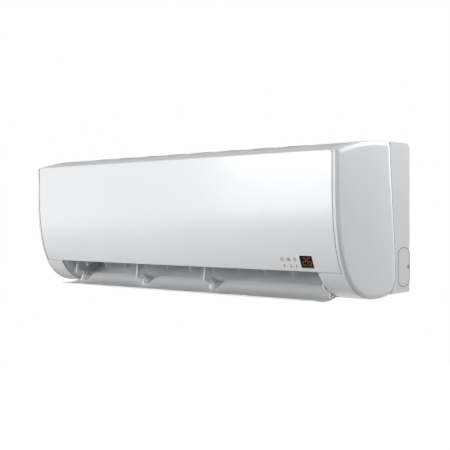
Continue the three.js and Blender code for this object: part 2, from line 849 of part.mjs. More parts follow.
// ---------------------------------------------------------------- intake grille on top
function intakeGrille() {
  const frontStationHere = topStation(unitDepth - grilleFrontInset);
  const topPoints = casingRun(topStation(seamTopInset + seatGap), frontStationHere);
  let grille = asSolid(bar(wallAlong(topPoints, wallThickness), -frameEndX, frameEndX));
  const bayCount = Math.floor((2 * frameEndX - 2 * grilleRibWidth) / grilleBayPitch);
  const slotCount = Math.floor(
    (unitDepth - grilleFrontInset - seamTopInset - 2 * grilleRearMargin) / grilleSlotPitch,
  );
  for (let bay = 0; bay < bayCount; bay += 1) {
    const centreX = (bay - (bayCount - 1) / 2) * grilleBayPitch;
    const half = (grilleBayPitch - grilleRibWidth) / 2;
    for (let slot = 0; slot < slotCount; slot += 1) {
      const rearY = seamTopY - grilleRearMargin - slot * grilleSlotPitch;
      const tool = block(centreX - half, centreX + half, rearY - grilleSlotDepth, rearY,
        frontTopZ - 2 * wallThickness, topZ + overrun);
      grille = cut(grille, tool);
    }
  }
  return grille;
}
piece("intake_grille", intakeGrille(), innerWhite());

// ---------------------------------------------------------------- front panel on its top hinge
const panelHinge = new THREE.Group();
panelHinge.position.set(0, panelPivot().x, panelPivot().y);
unit.add(panelHinge);

function toPanelHinge(shape) {
  return asSolid(shape).translate([0, -panelPivot().x, -panelPivot().y]);
}

function panelRun() {
  const topPoint = at(-unitDepth, topZ - panelTopDrop);
  return [topPoint, ...casingRun(chinStation, frontStation(panelBottomHeight))];
}

function windowOutline(clearance) {
  return casingRun(frontStation(windowTop + clearance), frontStation(windowBottom - clearance));
}

function frontPanel() {
  const skin = bar(wallAlong(panelRun(), panelThickness), -panelEndX, panelEndX);
  const top = topZ - panelTopDrop;
  const halfRound = panelEndX - panelCornerRadius;
  const face = [
    at(-panelEndX, panelBottomHeight - panelThickness),
    at(panelEndX, panelBottomHeight - panelThickness),
    ...arc(at(halfRound, top - panelCornerRadius), panelCornerRadius, 0, 90, 4),
    ...arc(at(-halfRound, top - panelCornerRadius), panelCornerRadius, 90, 180, 4),
  ];
  const blankGeometry = new THREE.ExtrudeGeometry(new THREE.Shape(face), {
    depth: 2 * unitDepth, bevelEnabled: false,
  });
  blankGeometry.rotateX(Math.PI / 2);
  let panel = common(skin, blankGeometry);
  const pivot = panelPivot();
  for (const side of [-1, 1]) {
    const beadFar = side * (panelEndX - panelCornerRadius / 2);
    const beadNear = side * (panelEndX - panelBeadLength);
    const pinFar = side * (trimX + panelPinReach);
    const bead = rodAlongX(panelBeadRadius, Math.min(beadNear, beadFar), Math.max(beadNear, beadFar),
      pivot.x, pivot.y, 10);
    const pin = rodAlongX(panelPinRadius, Math.min(beadNear, pinFar), Math.max(beadNear, pinFar),
      pivot.x, pivot.y, 10);
    panel = join(panel, bead, pin);
  }
  const cutRun = windowOutline(seatGap);
  const opening = bar(
    wallAlong(offsetPath(cutRun, -overrun), panelThickness + 2 * overrun),
    windowRight - windowWidth - seatGap, windowRight + seatGap,
  );
  return toPanelHinge(cut(panel, opening));
}
piece("front_panel", frontPanel(), glossWhite(), panelHinge);

function displayWindow() {
  const pane = wallAlong(windowOutline(0), panelThickness);
  return toPanelHinge(bar(pane, windowRight - windowWidth, windowRight));
}
piece("display_window", displayWindow(), smokedClear(), panelHinge);

// ---------------------------------------------------------------- outlet duct with the drain trough
function ductSideOutline() {
  const mouthStation = underStation(-guideMouth.x + ductWallMargin / 2);
  const front = offsetPath(casingRun(frontStation(troughFloor), mouthStation), ductWallMargin);
  const rear = offsetPath(guideRun.slice(guideStepsAboveSide), -2 * seatGap).reverse();
  return [
    at(tongueTip.x, rear[rear.length - 1].y),
    at(tongueTip.x, tongueTip.y),
    at(front[0].x, tongueTip.y),
    ...front,
    ...rear,
  ];
}

function outletDuct() {
  const ceilingRun = ceiling.getPoints(ceilingSteps);
  const innerX = outletX + outletWall / 2;
  const ceilingWall = bar(wallAlong(ceilingRun, -wallThickness), -innerX, innerX);
  const frontWall = offsetPath(
    casingRun(frontStation(troughFloor + troughWallHeight), frontStation(troughFloor - wallThickness)),
    troughInset,
  );
  const troughFront = bar(wallAlong(frontWall, wallThickness), -innerX, innerX);
  const floorFrontY = frontWall[frontWall.length - 1].x;
  const tongueJoin = ceiling.getPoint(tongueJoinShare);
  const troughBase = block(-innerX, innerX,
    floorFrontY + wallThickness / 2, tongueJoin.x - wallThickness / 2,
    troughFloor - wallThickness, troughFloor);
  const side = bar(ductSideOutline(), outletX, outletX + outletWall);
  const linkWay = block(
    outletX - overrun, outletX + outletWall + overrun,
    linkRearY() - linkWidth() - linkMargin, linkRearY() + linkMargin,
    linkHeight - linkThickness / 2 - linkMargin, linkHeight + linkThickness / 2 + linkMargin,
  );
  const ear = block(outletX + outletWall / 2, chassisInnerX - seatGap, vanePivotY - ductEarDepth / 2,
    vanePivotY + ductEarDepth / 2, earBottomZ, troughFloor - earDrop);
  const shaftHole = rodAlongX(flapPinRadius + 2 * flapPinClearance, outletX - overrun,
    outletX + outletWall + overrun, flapPivotY, flapPivotZ, 12);
  const drainHole = rodAlongX(drainRadius - drainWall, -outletX - outletWall - overrun, -outletX + overrun,
    coilFrontY, troughFloor + drainRadius, 12);
  const vaneHoles = vanePlaces().map((x) => (
    rodAlongZ(vanePinRadius + vanePinClearance, vaneTop, vanePinTop + overrun, x, vanePivotY, 8)
  ));
  return cut(
    join(ceilingWall, troughFront, troughBase, side, mirrored(side), ear, mirrored(ear)),
    linkWay, shaftHole, drainHole, ...vaneHoles,
  );
}

function drainSpigot() {
  const farX = -outletX - outletWall - seatGap;
  const height = troughFloor + drainRadius;
  const tube = rodAlongX(drainRadius, farX - drainLength, farX, coilFrontY, height, 16);
  const bore = rodAlongX(drainRadius - drainWall, farX - drainLength - overrun, farX + overrun,
    coilFrontY, height, 16);
  return cut(tube, bore);
}

// ---------------------------------------------------------------- vertical vanes, link and crank
function vanePlaces() {
  const places = [];
  for (let index = 0; index < vaneCount; index += 1) {
    places.push((index - (vaneCount - 1) / 2) * vanePitch);
  }
  return places;
}

function linkRearY() {
  return vanePivotY + linkArm + linkPinRadius + linkPlay + linkMargin;
}

function linkWidth() {
  return 2 * linkPinRadius + linkSwingRoom + 2 * linkPlay + 2 * linkMargin;
}

// One vane about its own pivot: Y and Z here are measured from the pivot line at the vane's top.
function vane() {
  const front = -vaneFrontReach;
  const rear = vaneRearReach;
  const height = vaneTop - vaneBottom;
  const blade = bar([
    at(front, -vaneFrontDrop), at(-vaneShoulder, -vaneShoulder), at(rear, 0), at(rear, -height),
    at(-vaneLowerFrontReach, -height),
  ], -vaneThickness / 2, vaneThickness / 2);
  const linkZ = linkHeight - vaneTop;
  const notchFrontY = linkArm - linkWidth() + linkPinRadius;
  const halfNotch = linkThickness / 2 + notchPlay;
  const notch = block(-vaneThickness, vaneThickness, notchFrontY, rear + overrun,
    linkZ - halfNotch, linkZ + halfNotch);
  const linkPin = rodAlongZ(linkPinRadius, linkZ - halfNotch - overrun, linkZ + halfNotch + overrun,
    0, linkArm, 8);
  const pivotPin = rodAlongZ(vanePinRadius, -vanePinRoot, vanePinTop - vaneTop, 0, 0, 8);
  return join(cut(blade, notch), linkPin, pivotPin);
}

function linkSlot(x) {
  const frontY = linkRearY() - linkWidth() + linkMargin;
  const halfSlot = linkPinRadius + linkPlay;
  return block(x - halfSlot, x + halfSlot, frontY, linkRearY() - linkMargin, linkHeight - linkThickness,
    linkHeight + linkThickness);
}

function crankPlace() {
  return outletX + crankOffset;
}

function vaneLink() {
  const end = linkPinRadius + linkPlay + 2 * linkMargin;
  const places = [...vanePlaces(), crankPlace()];
  const rod = block(
    places[0] - end, crankPlace() + end, linkRearY() - linkWidth(), linkRearY(),
    linkHeight - linkThickness / 2, linkHeight + linkThickness / 2,
  );
  return cut(rod, ...places.map(linkSlot));
}

const crankBottomZ = linkHeight + linkThickness / 2 + crankOverPin;
const vaneMotorTopZ = earBottomZ - seatGap;

function vaneCrank() {
  const hub = rodAlongZ(crankHubRadius, crankBottomZ, crankBottomZ + crankThickness, 0, 0, 12);
  const arm = block(-crankArmWidth / 2, crankArmWidth / 2, 0, linkArm + crankArmEnd,
    crankBottomZ, crankBottomZ + crankThickness);
  const pin = rodAlongZ(linkPinRadius, linkHeight - linkThickness, crankBottomZ + overrun, 0, linkArm, 8);
  const shaft = rodAlongZ(crankShaftRadius, crankBottomZ + overrun,
    crankBottomZ + crankThickness + crankShaftLength, 0, 0, 10);
  return join(hub, arm, pin, shaft);
}

function vaneMotor() {
  const bottom = crankBottomZ + crankThickness + seatGap;
  const body = rodAlongZ(vaneMotorRadius, bottom, vaneMotorTopZ, crankPlace(), vanePivotY, 20);
  const socket = rodAlongZ(crankShaftRadius + shaftGap, bottom - overrun, bottom + vaneMotorSocketDepth,
    crankPlace(), vanePivotY, 10);
  return cut(body, socket);
}

piece("outlet_duct", outletDuct(), innerWhite());
piece("drain_spigot", drainSpigot(), rubberBlack());
piece("vane_link", vaneLink(), innerWhite());
vanePlaces().forEach((x, index) => {
  const mesh = piece(`vane_${index + 1}`, vane(), innerWhite());
  mesh.position.set(x, vanePivotY, vaneTop);
});
const crankMesh = piece("vane_crank", vaneCrank(), innerWhite());
crankMesh.position.set(crankPlace(), vanePivotY, 0);
piece("vane_motor", vaneMotor(), zincSteel());

// ---------------------------------------------------------------- hangers that carry the flap
function flapHanger(x) {
  const pivot = at(flapPivotY, flapPivotZ);
  const face = offsetPath(hangerFaceShares.map((share) => ceiling.getPoint(share)), seatGap);
  const last = face[face.length - 1];
  const foot = arc(pivot, hangerRadius, hangerFootFrom, hangerFootTo, 8);
  const pull = at(last.x + hangerFrontPullY, last.y - hangerFrontPullZ);
  const frontEdge = new THREE.QuadraticBezierCurve(last, pull, foot[0]);
  const outline = [...face, ...frontEdge.getPoints(5).slice(1, -1), ...foot];
  const arm = bar(outline, x - hangerThickness / 2, x + hangerThickness / 2);
  const eye = rodAlongX(flapPinRadius + flapPinClearance, x - hangerThickness, x + hangerThickness,
    pivot.x, pivot.y, 12);
  return cut(arm, eye);
}
hangerPlaces.forEach((x, index) => {
  piece(`flap_hanger_${index + 1}`, flapHanger(x), innerWhite());
});

// ---------------------------------------------------------------- flap, drawn closed and set open
const flapHinge = new THREE.Group();
flapHinge.position.set(0, flapPivotY, flapPivotZ);
flapHinge.rotation.x = THREE.MathUtils.degToRad(flapOpenAngle);
unit.add(flapHinge);

function flap() {
  const halfLength = outletX - flapEndGap;
  const run = casingRun(frontStation(flapFrontHeight), underStation(flapRearInset));
  const blade = bar(wallAlong(run, flapThickness), -halfLength, halfLength);
  const inner = offsetPath(
    casingRun(underStation(flapLugFront), underStation(flapLugRear)), flapThickness / 2,
  );
  const crown = arc(at(flapPivotY, flapPivotZ), flapLugRadius, 20, 160, 5);
  const lugOutline = [...inner, ...crown];
  let whole = asSolid(blade);
  for (const x of hangerPlaces) {
    const lugLeft = x + hangerThickness / 2 + 2 * seatGap;
    const lug = bar(lugOutline, lugLeft, lugLeft + flapLugThickness);
    const pin = rodAlongX(flapPinRadius, x - hangerThickness / 2 - overrun, lugLeft + overrun,
      flapPivotY, flapPivotZ, 10);
    whole = join(whole, lug, pin);
  }
  const lastPlace = hangerPlaces[hangerPlaces.length - 1];
  const driveFar = outletX + outletWall + seatGap + flapDriveReach;
  const drive = rodAlongX(flapPinRadius, lastPlace, driveFar, flapPivotY, flapPivotZ, 10);
  return join(whole, drive).translate([0, -flapPivotY, -flapPivotZ]);
}
piece("flap", flap(), glossWhite(), flapHinge);

function flapMotor() {
  const left = outletX + outletWall + seatGap;
  const body = rodAlongX(stepperRadius, left, left + stepperLength,
    flapPivotY + flapMotorSetBack, flapPivotZ + stepperOffset, 20);
  const socket = rodAlongX(flapPinRadius + flapPinClearance, left - overrun, left + 2 * flapDriveReach,
    flapPivotY, flapPivotZ, 12);
  return cut(body, socket);
}
piece("flap_motor", flapMotor(), zincSteel());

// ---------------------------------------------------------------- cross-flow fan
const fanAxle = new THREE.Group();
fanAxle.position.set(0, fanAxisY, fanAxisZ);
unit.add(fanAxle);

function crossFlowFan() {
  const rimRadius = fanRadius - fanRimInset;
  const footRadius = rimRadius - fanBladeDepth;
  const parts = [];
  for (let index = 0; index < fanBladeCount; index += 1) {
    const start = (fullTurn * index) / fanBladeCount;
    const bladeRun = [
      polar(rimRadius, start),
      polar((rimRadius + footRadius) / 2, start + fanBladeLean / 3),
      polar(footRadius, start + fanBladeLean),
    ];
    parts.push(bar(wallAlong(bladeRun, fanBladeThickness), fanLeft, fanRight));
  }
  const middleX = (fanLeft + fanRight) / 2;
  const discs = [fanLeft, middleX - fanDiscThickness / 2, fanRight - fanDiscThickness];
  for (const left of discs) {
    parts.push(rodAlongX(fanRadius, left, left + fanDiscThickness, 0, 0, 32));
  }
  const shaftFarLeft = fanLeft - holderGap - holderWidth - bushLength / 2 - fanShaftTail + 2 * overrun;
  const leftShaft = rodAlongX(fanShaftRadius, shaftFarLeft, fanLeft + overrun, 0, 0, 16);
  const shaftFarRight = fanMotorLeft + fanShaftInMotor;
  const rightShaft = rodAlongX(fanShaftRadius, fanRight - overrun, shaftFarRight, 0, 0, 16);
  return join(...parts, leftShaft, rightShaft);
}
piece("cross_flow_fan", crossFlowFan(), darkPlastic(), fanAxle);

const bushOuterRadius = fanShaftRadius + shaftGap + bushWall;
const holderRight = fanLeft - holderGap;

function bearingBush() {
  const left = holderRight - (holderWidth + bushLength) / 2;
  const body = rodAlongX(bushOuterRadius, left, left + bushLength, fanAxisY, fanAxisZ, 16);
  const bore = rodAlongX(fanShaftRadius + shaftGap, left - overrun, left + bushLength + overrun,
    fanAxisY, fanAxisZ, 16);
  return cut(body, bore);
}
piece("bearing_bush", bearingBush(), rubberBlack());

// An arm that reaches back from a ring to the scroll wall.
function armToGuide(fromX, toX) {
  const low = fanAxisZ - holderArmHeight / 2;
  const high = fanAxisZ + holderArmHeight / 2;
  const outline = [
    at(fanAxisY, low),
    at(guideFaceAt(low) - seatGap, low),
    at(guideFaceAt(fanAxisZ) - seatGap, fanAxisZ),
    at(guideFaceAt(high) - seatGap, high),
    at(fanAxisY, high),
  ];
  return bar(outline, fromX, toX);
}

function bearingHolder() {
  const left = holderRight - holderWidth;
  const ring = rodAlongX(bushOuterRadius + holderRingWall, left, holderRight, fanAxisY, fanAxisZ, 20);
  const hole = rodAlongX(bushOuterRadius + seatGap, left - overrun, holderRight + overrun,
    fanAxisY, fanAxisZ, 16);
  return cut(join(ring, armToGuide(left, holderRight)), hole);
}
piece("bearing_holder", bearingHolder(), innerWhite());

function fanMotor() {
  const right = fanMotorLeft + fanMotorLength;
  const body = rodAlongX(fanMotorRadius, fanMotorLeft, right, fanAxisY, fanAxisZ, 28);
  const socket = rodAlongX(fanShaftRadius + shaftGap, fanMotorLeft - overrun,
    fanMotorLeft + motorSocketDepth, fanAxisY, fanAxisZ, 16);
  return cut(body, socket);
}
piece("fan_motor", fanMotor(), zincSteel());

function motorClamp() {
  const left = fanMotorLeft + fanMotorLength / 2 - clampWidth / 2;
  const right = left + clampWidth;
  const ring = rodAlongX(fanMotorRadius + seatGap + clampWall, left, right, fanAxisY, fanAxisZ, 28);
  const hole = rodAlongX(fanMotorRadius + 2 * seatGap, left - overrun, right + overrun,
    fanAxisY, fanAxisZ, 28);
  return cut(join(ring, armToGuide(left, right)), hole);
}
piece("motor_clamp", motorClamp(), innerWhite());

// ---------------------------------------------------------------- heat exchanger
const coilBottomZ = troughFloor + seatGap;
const coilBanks = {
  coil_front: [at(coilFrontY, coilBottomZ), at(coilFrontY, coilFrontTop)],
  coil_upper: [coilUpperLow, coilUpperHigh],
  coil_rear: [coilRearHigh, coilRearLow],
};

function bankOutline([start, end], margin) {
  const way = end.clone().sub(start).normalize();
  const longer = [start.clone().addScaledVector(way, -margin), end.clone().addScaledVector(way, margin)];
  const half = coilThickness / 2 + margin;
  return [...offsetPath(longer, half), ...offsetPath(longer, -half).reverse()];
}

for (const [name, bank] of Object.entries(coilBanks)) {
  piece(name, bar(bankOutline(bank, 0), coilLeft, coilRight), finAluminium());
}

// One hairpin's return bend, standing out of the tube sheet towards +X.
function returnBend(from, to, startX) {
  const reach = startX + bendReach;
  const path = new THREE.CatmullRomCurve3([
    new THREE.Vector3(startX - bendRoot, from.x, from.y),
    new THREE.Vector3(startX + bendStraight, from.x, from.y),
    new THREE.Vector3(reach, (from.x + to.x) / 2, (from.y + to.y) / 2),
    new THREE.Vector3(startX + bendStraight, to.x, to.y),
    new THREE.Vector3(startX - bendRoot, to.x, to.y),
  ]);
  return tube(path, bendRadius, 6, 6);
}

function tube(path, radius, steps, sides) {
  const section = new THREE.Shape(arc(at(0, 0), radius, 0, fullTurn, sides).slice(0, -1));
  return new THREE.ExtrudeGeometry(section, { steps, bevelEnabled: false, extrudePath: path });
}

// A point so far along a bank from its start, and so far to the left of its middle line.
function pointOnBank([start, end], distance, side) {
  const way = end.clone().sub(start).normalize();
  const point = start.clone().addScaledVector(way, distance);
  return at(point.x - way.y * side, point.y + way.x * side);
}

function tubeSheet(bendPlaces) {
  const sheetFrom = coilRight + seatGap;
  const sheetTo = sheetFrom + tubeSheetThickness;
  const plates = Object.values(coilBanks).map((bank) => {
    const floorCut = block(sheetFrom - overrun, sheetTo + overrun, -unitDepth, 0, bottomZ, coilBottomZ);
    return cut(bar(bankOutline(bank, tubeSheetMargin), sheetFrom, sheetTo), floorCut);
  });
  const bends = bendPlaces.map(([name, place]) => {
    const side = coilThickness / 4;
    const from = pointOnBank(coilBanks[name], place, side);
    const to = pointOnBank(coilBanks[name], place + bendPitch, -side);
    return returnBend(from, to, sheetTo);
  });
  return join(...plates, ...bends);
}

const rightBends = [["coil_front", 11], ["coil_front", 38], ["coil_front", 64],
  ["coil_upper", 10], ["coil_upper", 44], ["coil_rear", 8]];
const leftBends = [...rightBends, ["coil_rear", 36]];
piece("tube_sheet_right", tubeSheet(rightBends), copper());
const leftSheet = mirrored(tubeSheet(leftBends)).translate([coilRight + coilLeft, 0, 0]);
piece("tube_sheet_left", leftSheet, copper());

function coilSensor() {
  const middle = pointOnBank(coilBanks.coil_upper, sensorPlace, 0);
  const sheetTo = coilRight + seatGap + tubeSheetThickness + seatGap;
  return rodAlongX(sensorRadius, sheetTo, sheetTo + sensorLength, middle.x, middle.y, 10);
}
piece("coil_sensor", coilSensor(), copper());

// ---------------------------------------------------------------- refrigerant pipes
function pipe(start, dropX, channelZ, endX, radius) {
  const legs = [
    new THREE.Vector3(coilRight + 2 * seatGap + tubeSheetThickness, start.x, start.y),
    new THREE.Vector3(dropX, start.x, start.y),
    new THREE.Vector3(dropX, pipeY, start.y - (pipeY - start.x) * pipeFallShare),
    new THREE.Vector3(dropX, pipeY, channelZ),
    new THREE.Vector3(endX, pipeY, channelZ),
  ];
  const route = new THREE.CurvePath();
  let from = legs[0];
  for (let index = 1; index < legs.length - 1; index += 1) {
    const corner = legs[index];
    const before = corner.clone().add(from.clone().sub(corner).setLength(pipeBend));
    const after = corner.clone().add(legs[index + 1].clone().sub(corner).setLength(pipeBend));
    route.add(new THREE.LineCurve3(from, before));
    route.add(new THREE.QuadraticBezierCurve3(before, corner, after));
    from = after;
  }
  route.add(new THREE.LineCurve3(from, legs[legs.length - 1]));
  return tube(route, radius, 44, 8);
}
const gasStart = pointOnBank(coilBanks.coil_rear, gasPipeStart, 0);
const liquidStart = pointOnBank(coilBanks.coil_rear, liquidPipeStart, 0);
piece(
  "gas_pipe",
  solidOf(pipe(gasStart, gasPipeDrop, gasPipeHeight, gasPipeEnd, gasPipeRadius)),
  copper(),
);
piece(
  "liquid_pipe",
  solidOf(pipe(liquidStart, liquidPipeDrop, liquidPipeHeight, liquidPipeEnd, liquidPipeRadius)),
  copper(),
);

function flareNut(pipeEnd, height, pipeRadius, nutRadius, length) {
  const left = pipeEnd - length * nutLapShare;
  const body = rodAlongX(nutRadius, left, left + length, pipeY, height, 6);
  const bore = rodAlongX(pipeRadius + seatGap, left - overrun, left + length + overrun, pipeY, height, 12);
  return cut(body, bore);
}
piece(
  "gas_flare_nut",
  flareNut(gasPipeEnd, gasPipeHeight, gasPipeRadius, gasNutRadius, gasNutLength),
  brass(),
);
piece(
  "liquid_flare_nut",
  flareNut(liquidPipeEnd, liquidPipeHeight, liquidPipeRadius, liquidNutRadius, liquidNutLength),
  brass(),
);

function pipeClamp() {
  const left = pipeClampPlace - pipeClampWidth / 2;
  const right = pipeClampPlace + pipeClampWidth / 2;
  const body = block(left, right, pipeY - pipeClampDepth / 2, pipeY + pipeClampDepth / 2,
    gasPipeHeight - gasPipeRadius - pipeClampFloor, shelfHeight - seatGap);
  const gasWay = rodAlongX(gasPipeRadius + seatGap, left - overrun, right + overrun,
    pipeY, gasPipeHeight, 12);
  const liquidWay = rodAlongX(liquidPipeRadius + seatGap, left - overrun, right + overrun,
    pipeY, liquidPipeHeight, 12);
  return cut(body, gasWay, liquidWay);
}
piece("pipe_clamp", pipeClamp(), innerWhite());

// ---------------------------------------------------------------- air filters
function airFilter() {
  const bottomStation = frontStation(troughFloor + troughWallHeight + 2 * seatGap);
  const lying = offsetPath(casingRun(topStation(filterRearInset), bottomStation), troughInset);
  return bar(wallAlong(lying, filterThickness), filterGapAtMiddle / 2, -coilLeft);
}
piece("filter_right", airFilter(), filterGrey());
piece("filter_left", mirrored(airFilter()), filterGrey());

// ---------------------------------------------------------------- control box
const controlRight = chassisInnerX - seatGap;

function controlBox() {
  const outer = block(controlLeft, controlRight, controlFront, controlRear, controlBottom, controlTop);
  const hollow = block(controlLeft + controlWall, controlRight - controlWall, controlFront - overrun,
    controlRear - controlWall, controlBottom + controlWall, controlTop - controlWall);
  const railPlaces = [controlFront + boardRailInset, controlRear - boardRailInset - boardRailWidth];
  const rails = railPlaces.map((y) => block(
    controlLeft + controlWall / 2, controlRight - controlWall / 2, y, y + boardRailWidth,
    controlBottom + controlWall / 2, controlBottom + controlWall + boardRailHeight,
  ));
  return join(cut(outer, hollow), ...rails);
}
piece("control_box", controlBox(), innerWhite());

const boardBottomZ = controlBottom + controlWall + boardRailHeight + seatGap;
const boardTopZ = boardBottomZ + boardThickness;
const boardLeft = controlLeft + controlWall + boardSideGap;
const boardFront = controlFront + boardEndGap;
piece("control_board", block(
  boardLeft, controlRight - controlWall - boardSideGap, boardFront, controlRear - boardEndGap,
  boardBottomZ, boardTopZ,
), boardGreen());

const terminalLeft = boardLeft + terminalSide;
const terminalFront = boardFront + terminalEnd;
piece("terminal_block", block(
  terminalLeft, terminalLeft + terminalWidth, terminalFront, terminalFront + terminalDepth,
  boardTopZ + seatGap, boardTopZ + seatGap + terminalHeight,
), darkPlastic());

function controlCover() {
  const rear = controlFront - seatGap;
  const plate = block(controlLeft, controlRight, rear - controlWall, rear, controlBottom, controlTop);
  const hole = rodAlongY(buttonRadius + seatGap, rear - controlWall - overrun, rear + overrun,
    buttonPlace, buttonHeight, 16);
  return cut(plate, hole);
}
piece("control_cover", controlCover(), innerWhite());

function manualButton() {
  const coverRear = controlFront - seatGap;
  const front = coverRear - controlWall - buttonStand;
  const flangeFront = coverRear + seatGap;
  const flangeRear = flangeFront + buttonFlange;
  const stem = rodAlongY(buttonRadius, front, flangeRear, buttonPlace, buttonHeight, 16);
  const flange = rodAlongY(buttonRadius + buttonFlangeRim, flangeFront, flangeRear,
    buttonPlace, buttonHeight, 16);
  return join(stem, flange);
}
piece("manual_button", manualButton(), casingWhite());

function displayBoard() {
  const run = [displayBoardTop, displayBoardBottom].map((height) => (
    casing.getPointAt(frontStation(height))
  ));
  const right = outletX - seatGap;
  return bar(wallAlong(offsetPath(run, ductWallMargin + seatGap), displayBoardThickness),
    right - displayBoardWidth, right);
}
piece("display_board", displayBoard(), boardGreen());

// ---------------------------------------------------------------- case screws in the outlet lip
for (const [side, x] of [["left", -screwPlace], ["right", screwPlace]]) {
  const headTop = screwSeatZ() + screwRecess - seatGap;
  const head = rodAlongZ(screwHeadRadius, headTop - screwHeadHeight, headTop, x, -screwInset, 14);
  const shank = rodAlongZ(screwShankRadius, headTop - screwHeadHeight / 2, headTop + screwLength,
    x, -screwInset, 8);
  piece(`case_screw_${side}`, join(head, shank), zincSteel());
}

export default unit;
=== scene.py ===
import json
import math

import bmesh
import bpy
from mathutils import Matrix, Vector, geometry

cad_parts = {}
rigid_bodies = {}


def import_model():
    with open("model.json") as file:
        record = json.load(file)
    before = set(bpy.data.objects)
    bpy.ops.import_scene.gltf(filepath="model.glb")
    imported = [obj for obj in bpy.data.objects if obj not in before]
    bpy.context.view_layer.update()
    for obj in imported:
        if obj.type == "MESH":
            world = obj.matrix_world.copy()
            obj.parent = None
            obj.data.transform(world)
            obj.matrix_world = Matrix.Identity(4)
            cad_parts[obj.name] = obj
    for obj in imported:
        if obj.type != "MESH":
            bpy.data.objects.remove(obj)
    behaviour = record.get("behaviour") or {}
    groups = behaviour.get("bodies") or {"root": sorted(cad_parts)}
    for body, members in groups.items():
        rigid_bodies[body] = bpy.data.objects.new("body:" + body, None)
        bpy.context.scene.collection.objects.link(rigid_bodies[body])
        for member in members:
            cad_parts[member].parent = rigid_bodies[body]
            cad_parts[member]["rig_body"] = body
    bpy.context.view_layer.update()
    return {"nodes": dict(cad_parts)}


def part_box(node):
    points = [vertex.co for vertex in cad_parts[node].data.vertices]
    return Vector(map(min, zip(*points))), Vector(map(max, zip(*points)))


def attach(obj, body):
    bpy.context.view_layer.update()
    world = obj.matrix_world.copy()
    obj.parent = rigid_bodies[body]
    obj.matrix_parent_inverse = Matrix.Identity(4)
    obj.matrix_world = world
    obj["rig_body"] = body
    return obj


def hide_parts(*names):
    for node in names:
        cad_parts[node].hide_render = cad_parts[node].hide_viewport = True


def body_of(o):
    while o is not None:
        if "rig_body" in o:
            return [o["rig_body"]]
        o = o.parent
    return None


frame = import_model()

# ---------------------------------------- camera
# A wall unit seen from its front right, at its own height and from about two metres away,
# with a long lens, so that its upright edges stay upright.
camera_data = bpy.data.cameras.new("camera")
camera_data.sensor_width = 36.0
camera_data.lens = 82.68
camera = bpy.data.objects.new("camera", camera_data)
camera.location = (1.4977, -1.4693, -0.0026)
camera.rotation_euler = (math.radians(89.8), 0.0, math.radians(46.29))
bpy.context.scene.collection.objects.link(camera)
bpy.context.scene.camera = camera
bpy.context.scene.view_settings.view_transform = "Standard"


# ---------------------------------------- mounting plate
# The plate that is screwed to the wall first: galvanised sheet steel, 1.2 mm thick, pressed out
# with screw holes and two upturned hooks, on which the whole unit hangs.
class Wire:
    """A shader socket; arithmetic on it adds Math nodes to its finish."""

    def __init__(self, finish, socket):
        self.finish = finish
        self.socket = socket

    def maths(self, operation, first, second):
        return self.finish.node("ShaderNodeMath", {"operation": operation}, {0: first, 1: second})

    def __add__(self, other):
        return self.maths("ADD", self, other)

    def __mul__(self, other):
        return self.maths("MULTIPLY", self, other)

    def __truediv__(self, other):
        return self.maths("DIVIDE", self, other)

    def __mod__(self, other):
        return self.maths("FLOORED_MODULO", self, other)

    def __gt__(self, other):
        return self.maths("GREATER_THAN", self, other)

    def __lt__(self, other):
        return self.maths("LESS_THAN", self, other)

    __radd__ = __add__
    __rmul__ = __mul__


class Finish:
    """A material made of nodes, with the record's slot that it belongs to."""

    def __init__(self, slot, **sockets):
        self.slot = slot
        self.material = bpy.data.materials.new(slot + "_finish")
        self.material.use_nodes = True
        self.tree = self.material.node_tree
        self.shader = self.tree.nodes["Principled BSDF"]
        self.place = self.node("ShaderNodeTexCoord", {}, {}, "Object")
        self.set(**sockets)

    def node(self, kind, settings, values, output=0):
        made = self.tree.nodes.new(kind)
        for key, value in settings.items():
            setattr(made, key, value)
        for key, value in values.items():
            self.feed(made.inputs[key], value)
        return Wire(self, made.outputs[output])

    def feed(self, socket, value):
        if isinstance(value, Wire):
            self.tree.links.new(value.socket, socket)
        elif socket.type == "RGBA" and len(value) == 3:
            socket.default_value = (*value, 1.0)
        else:
            socket.default_value = value

    def set(self, **sockets):
        for name, value in sockets.items():
            label = name.replace("_", " ").title().replace("Ior", "IOR")
            self.feed(self.shader.inputs[label], value)

    def blend(self, factor, colour, other):
        sockets = {0: factor, 6: colour, 7: other}
        return self.node("ShaderNodeMix", {"data_type": "RGBA"}, sockets, 2)

    def noise(self, scale, detail=2.0, stretch=(1.0, 1.0, 1.0)):
        stretched = self.node("ShaderNodeMapping", {}, {"Vector": self.place, "Scale": stretch})
        sockets = {"Vector": stretched, "Scale": scale, "Detail": detail}
        return self.node("ShaderNodeTexNoise", {}, sockets)

    def vary(self, grain, colour, other, smoothest, spread):
        """Lets the colour and the roughness follow the same grain."""
        self.set(base_color=self.blend(grain, colour, other),
                 roughness=grain * spread + smoothest)

    def relief(self, height, depth):
        sockets = {"Height": height, "Distance": depth}
        self.set(normal=self.node("ShaderNodeBump", {}, sockets, "Normal"))


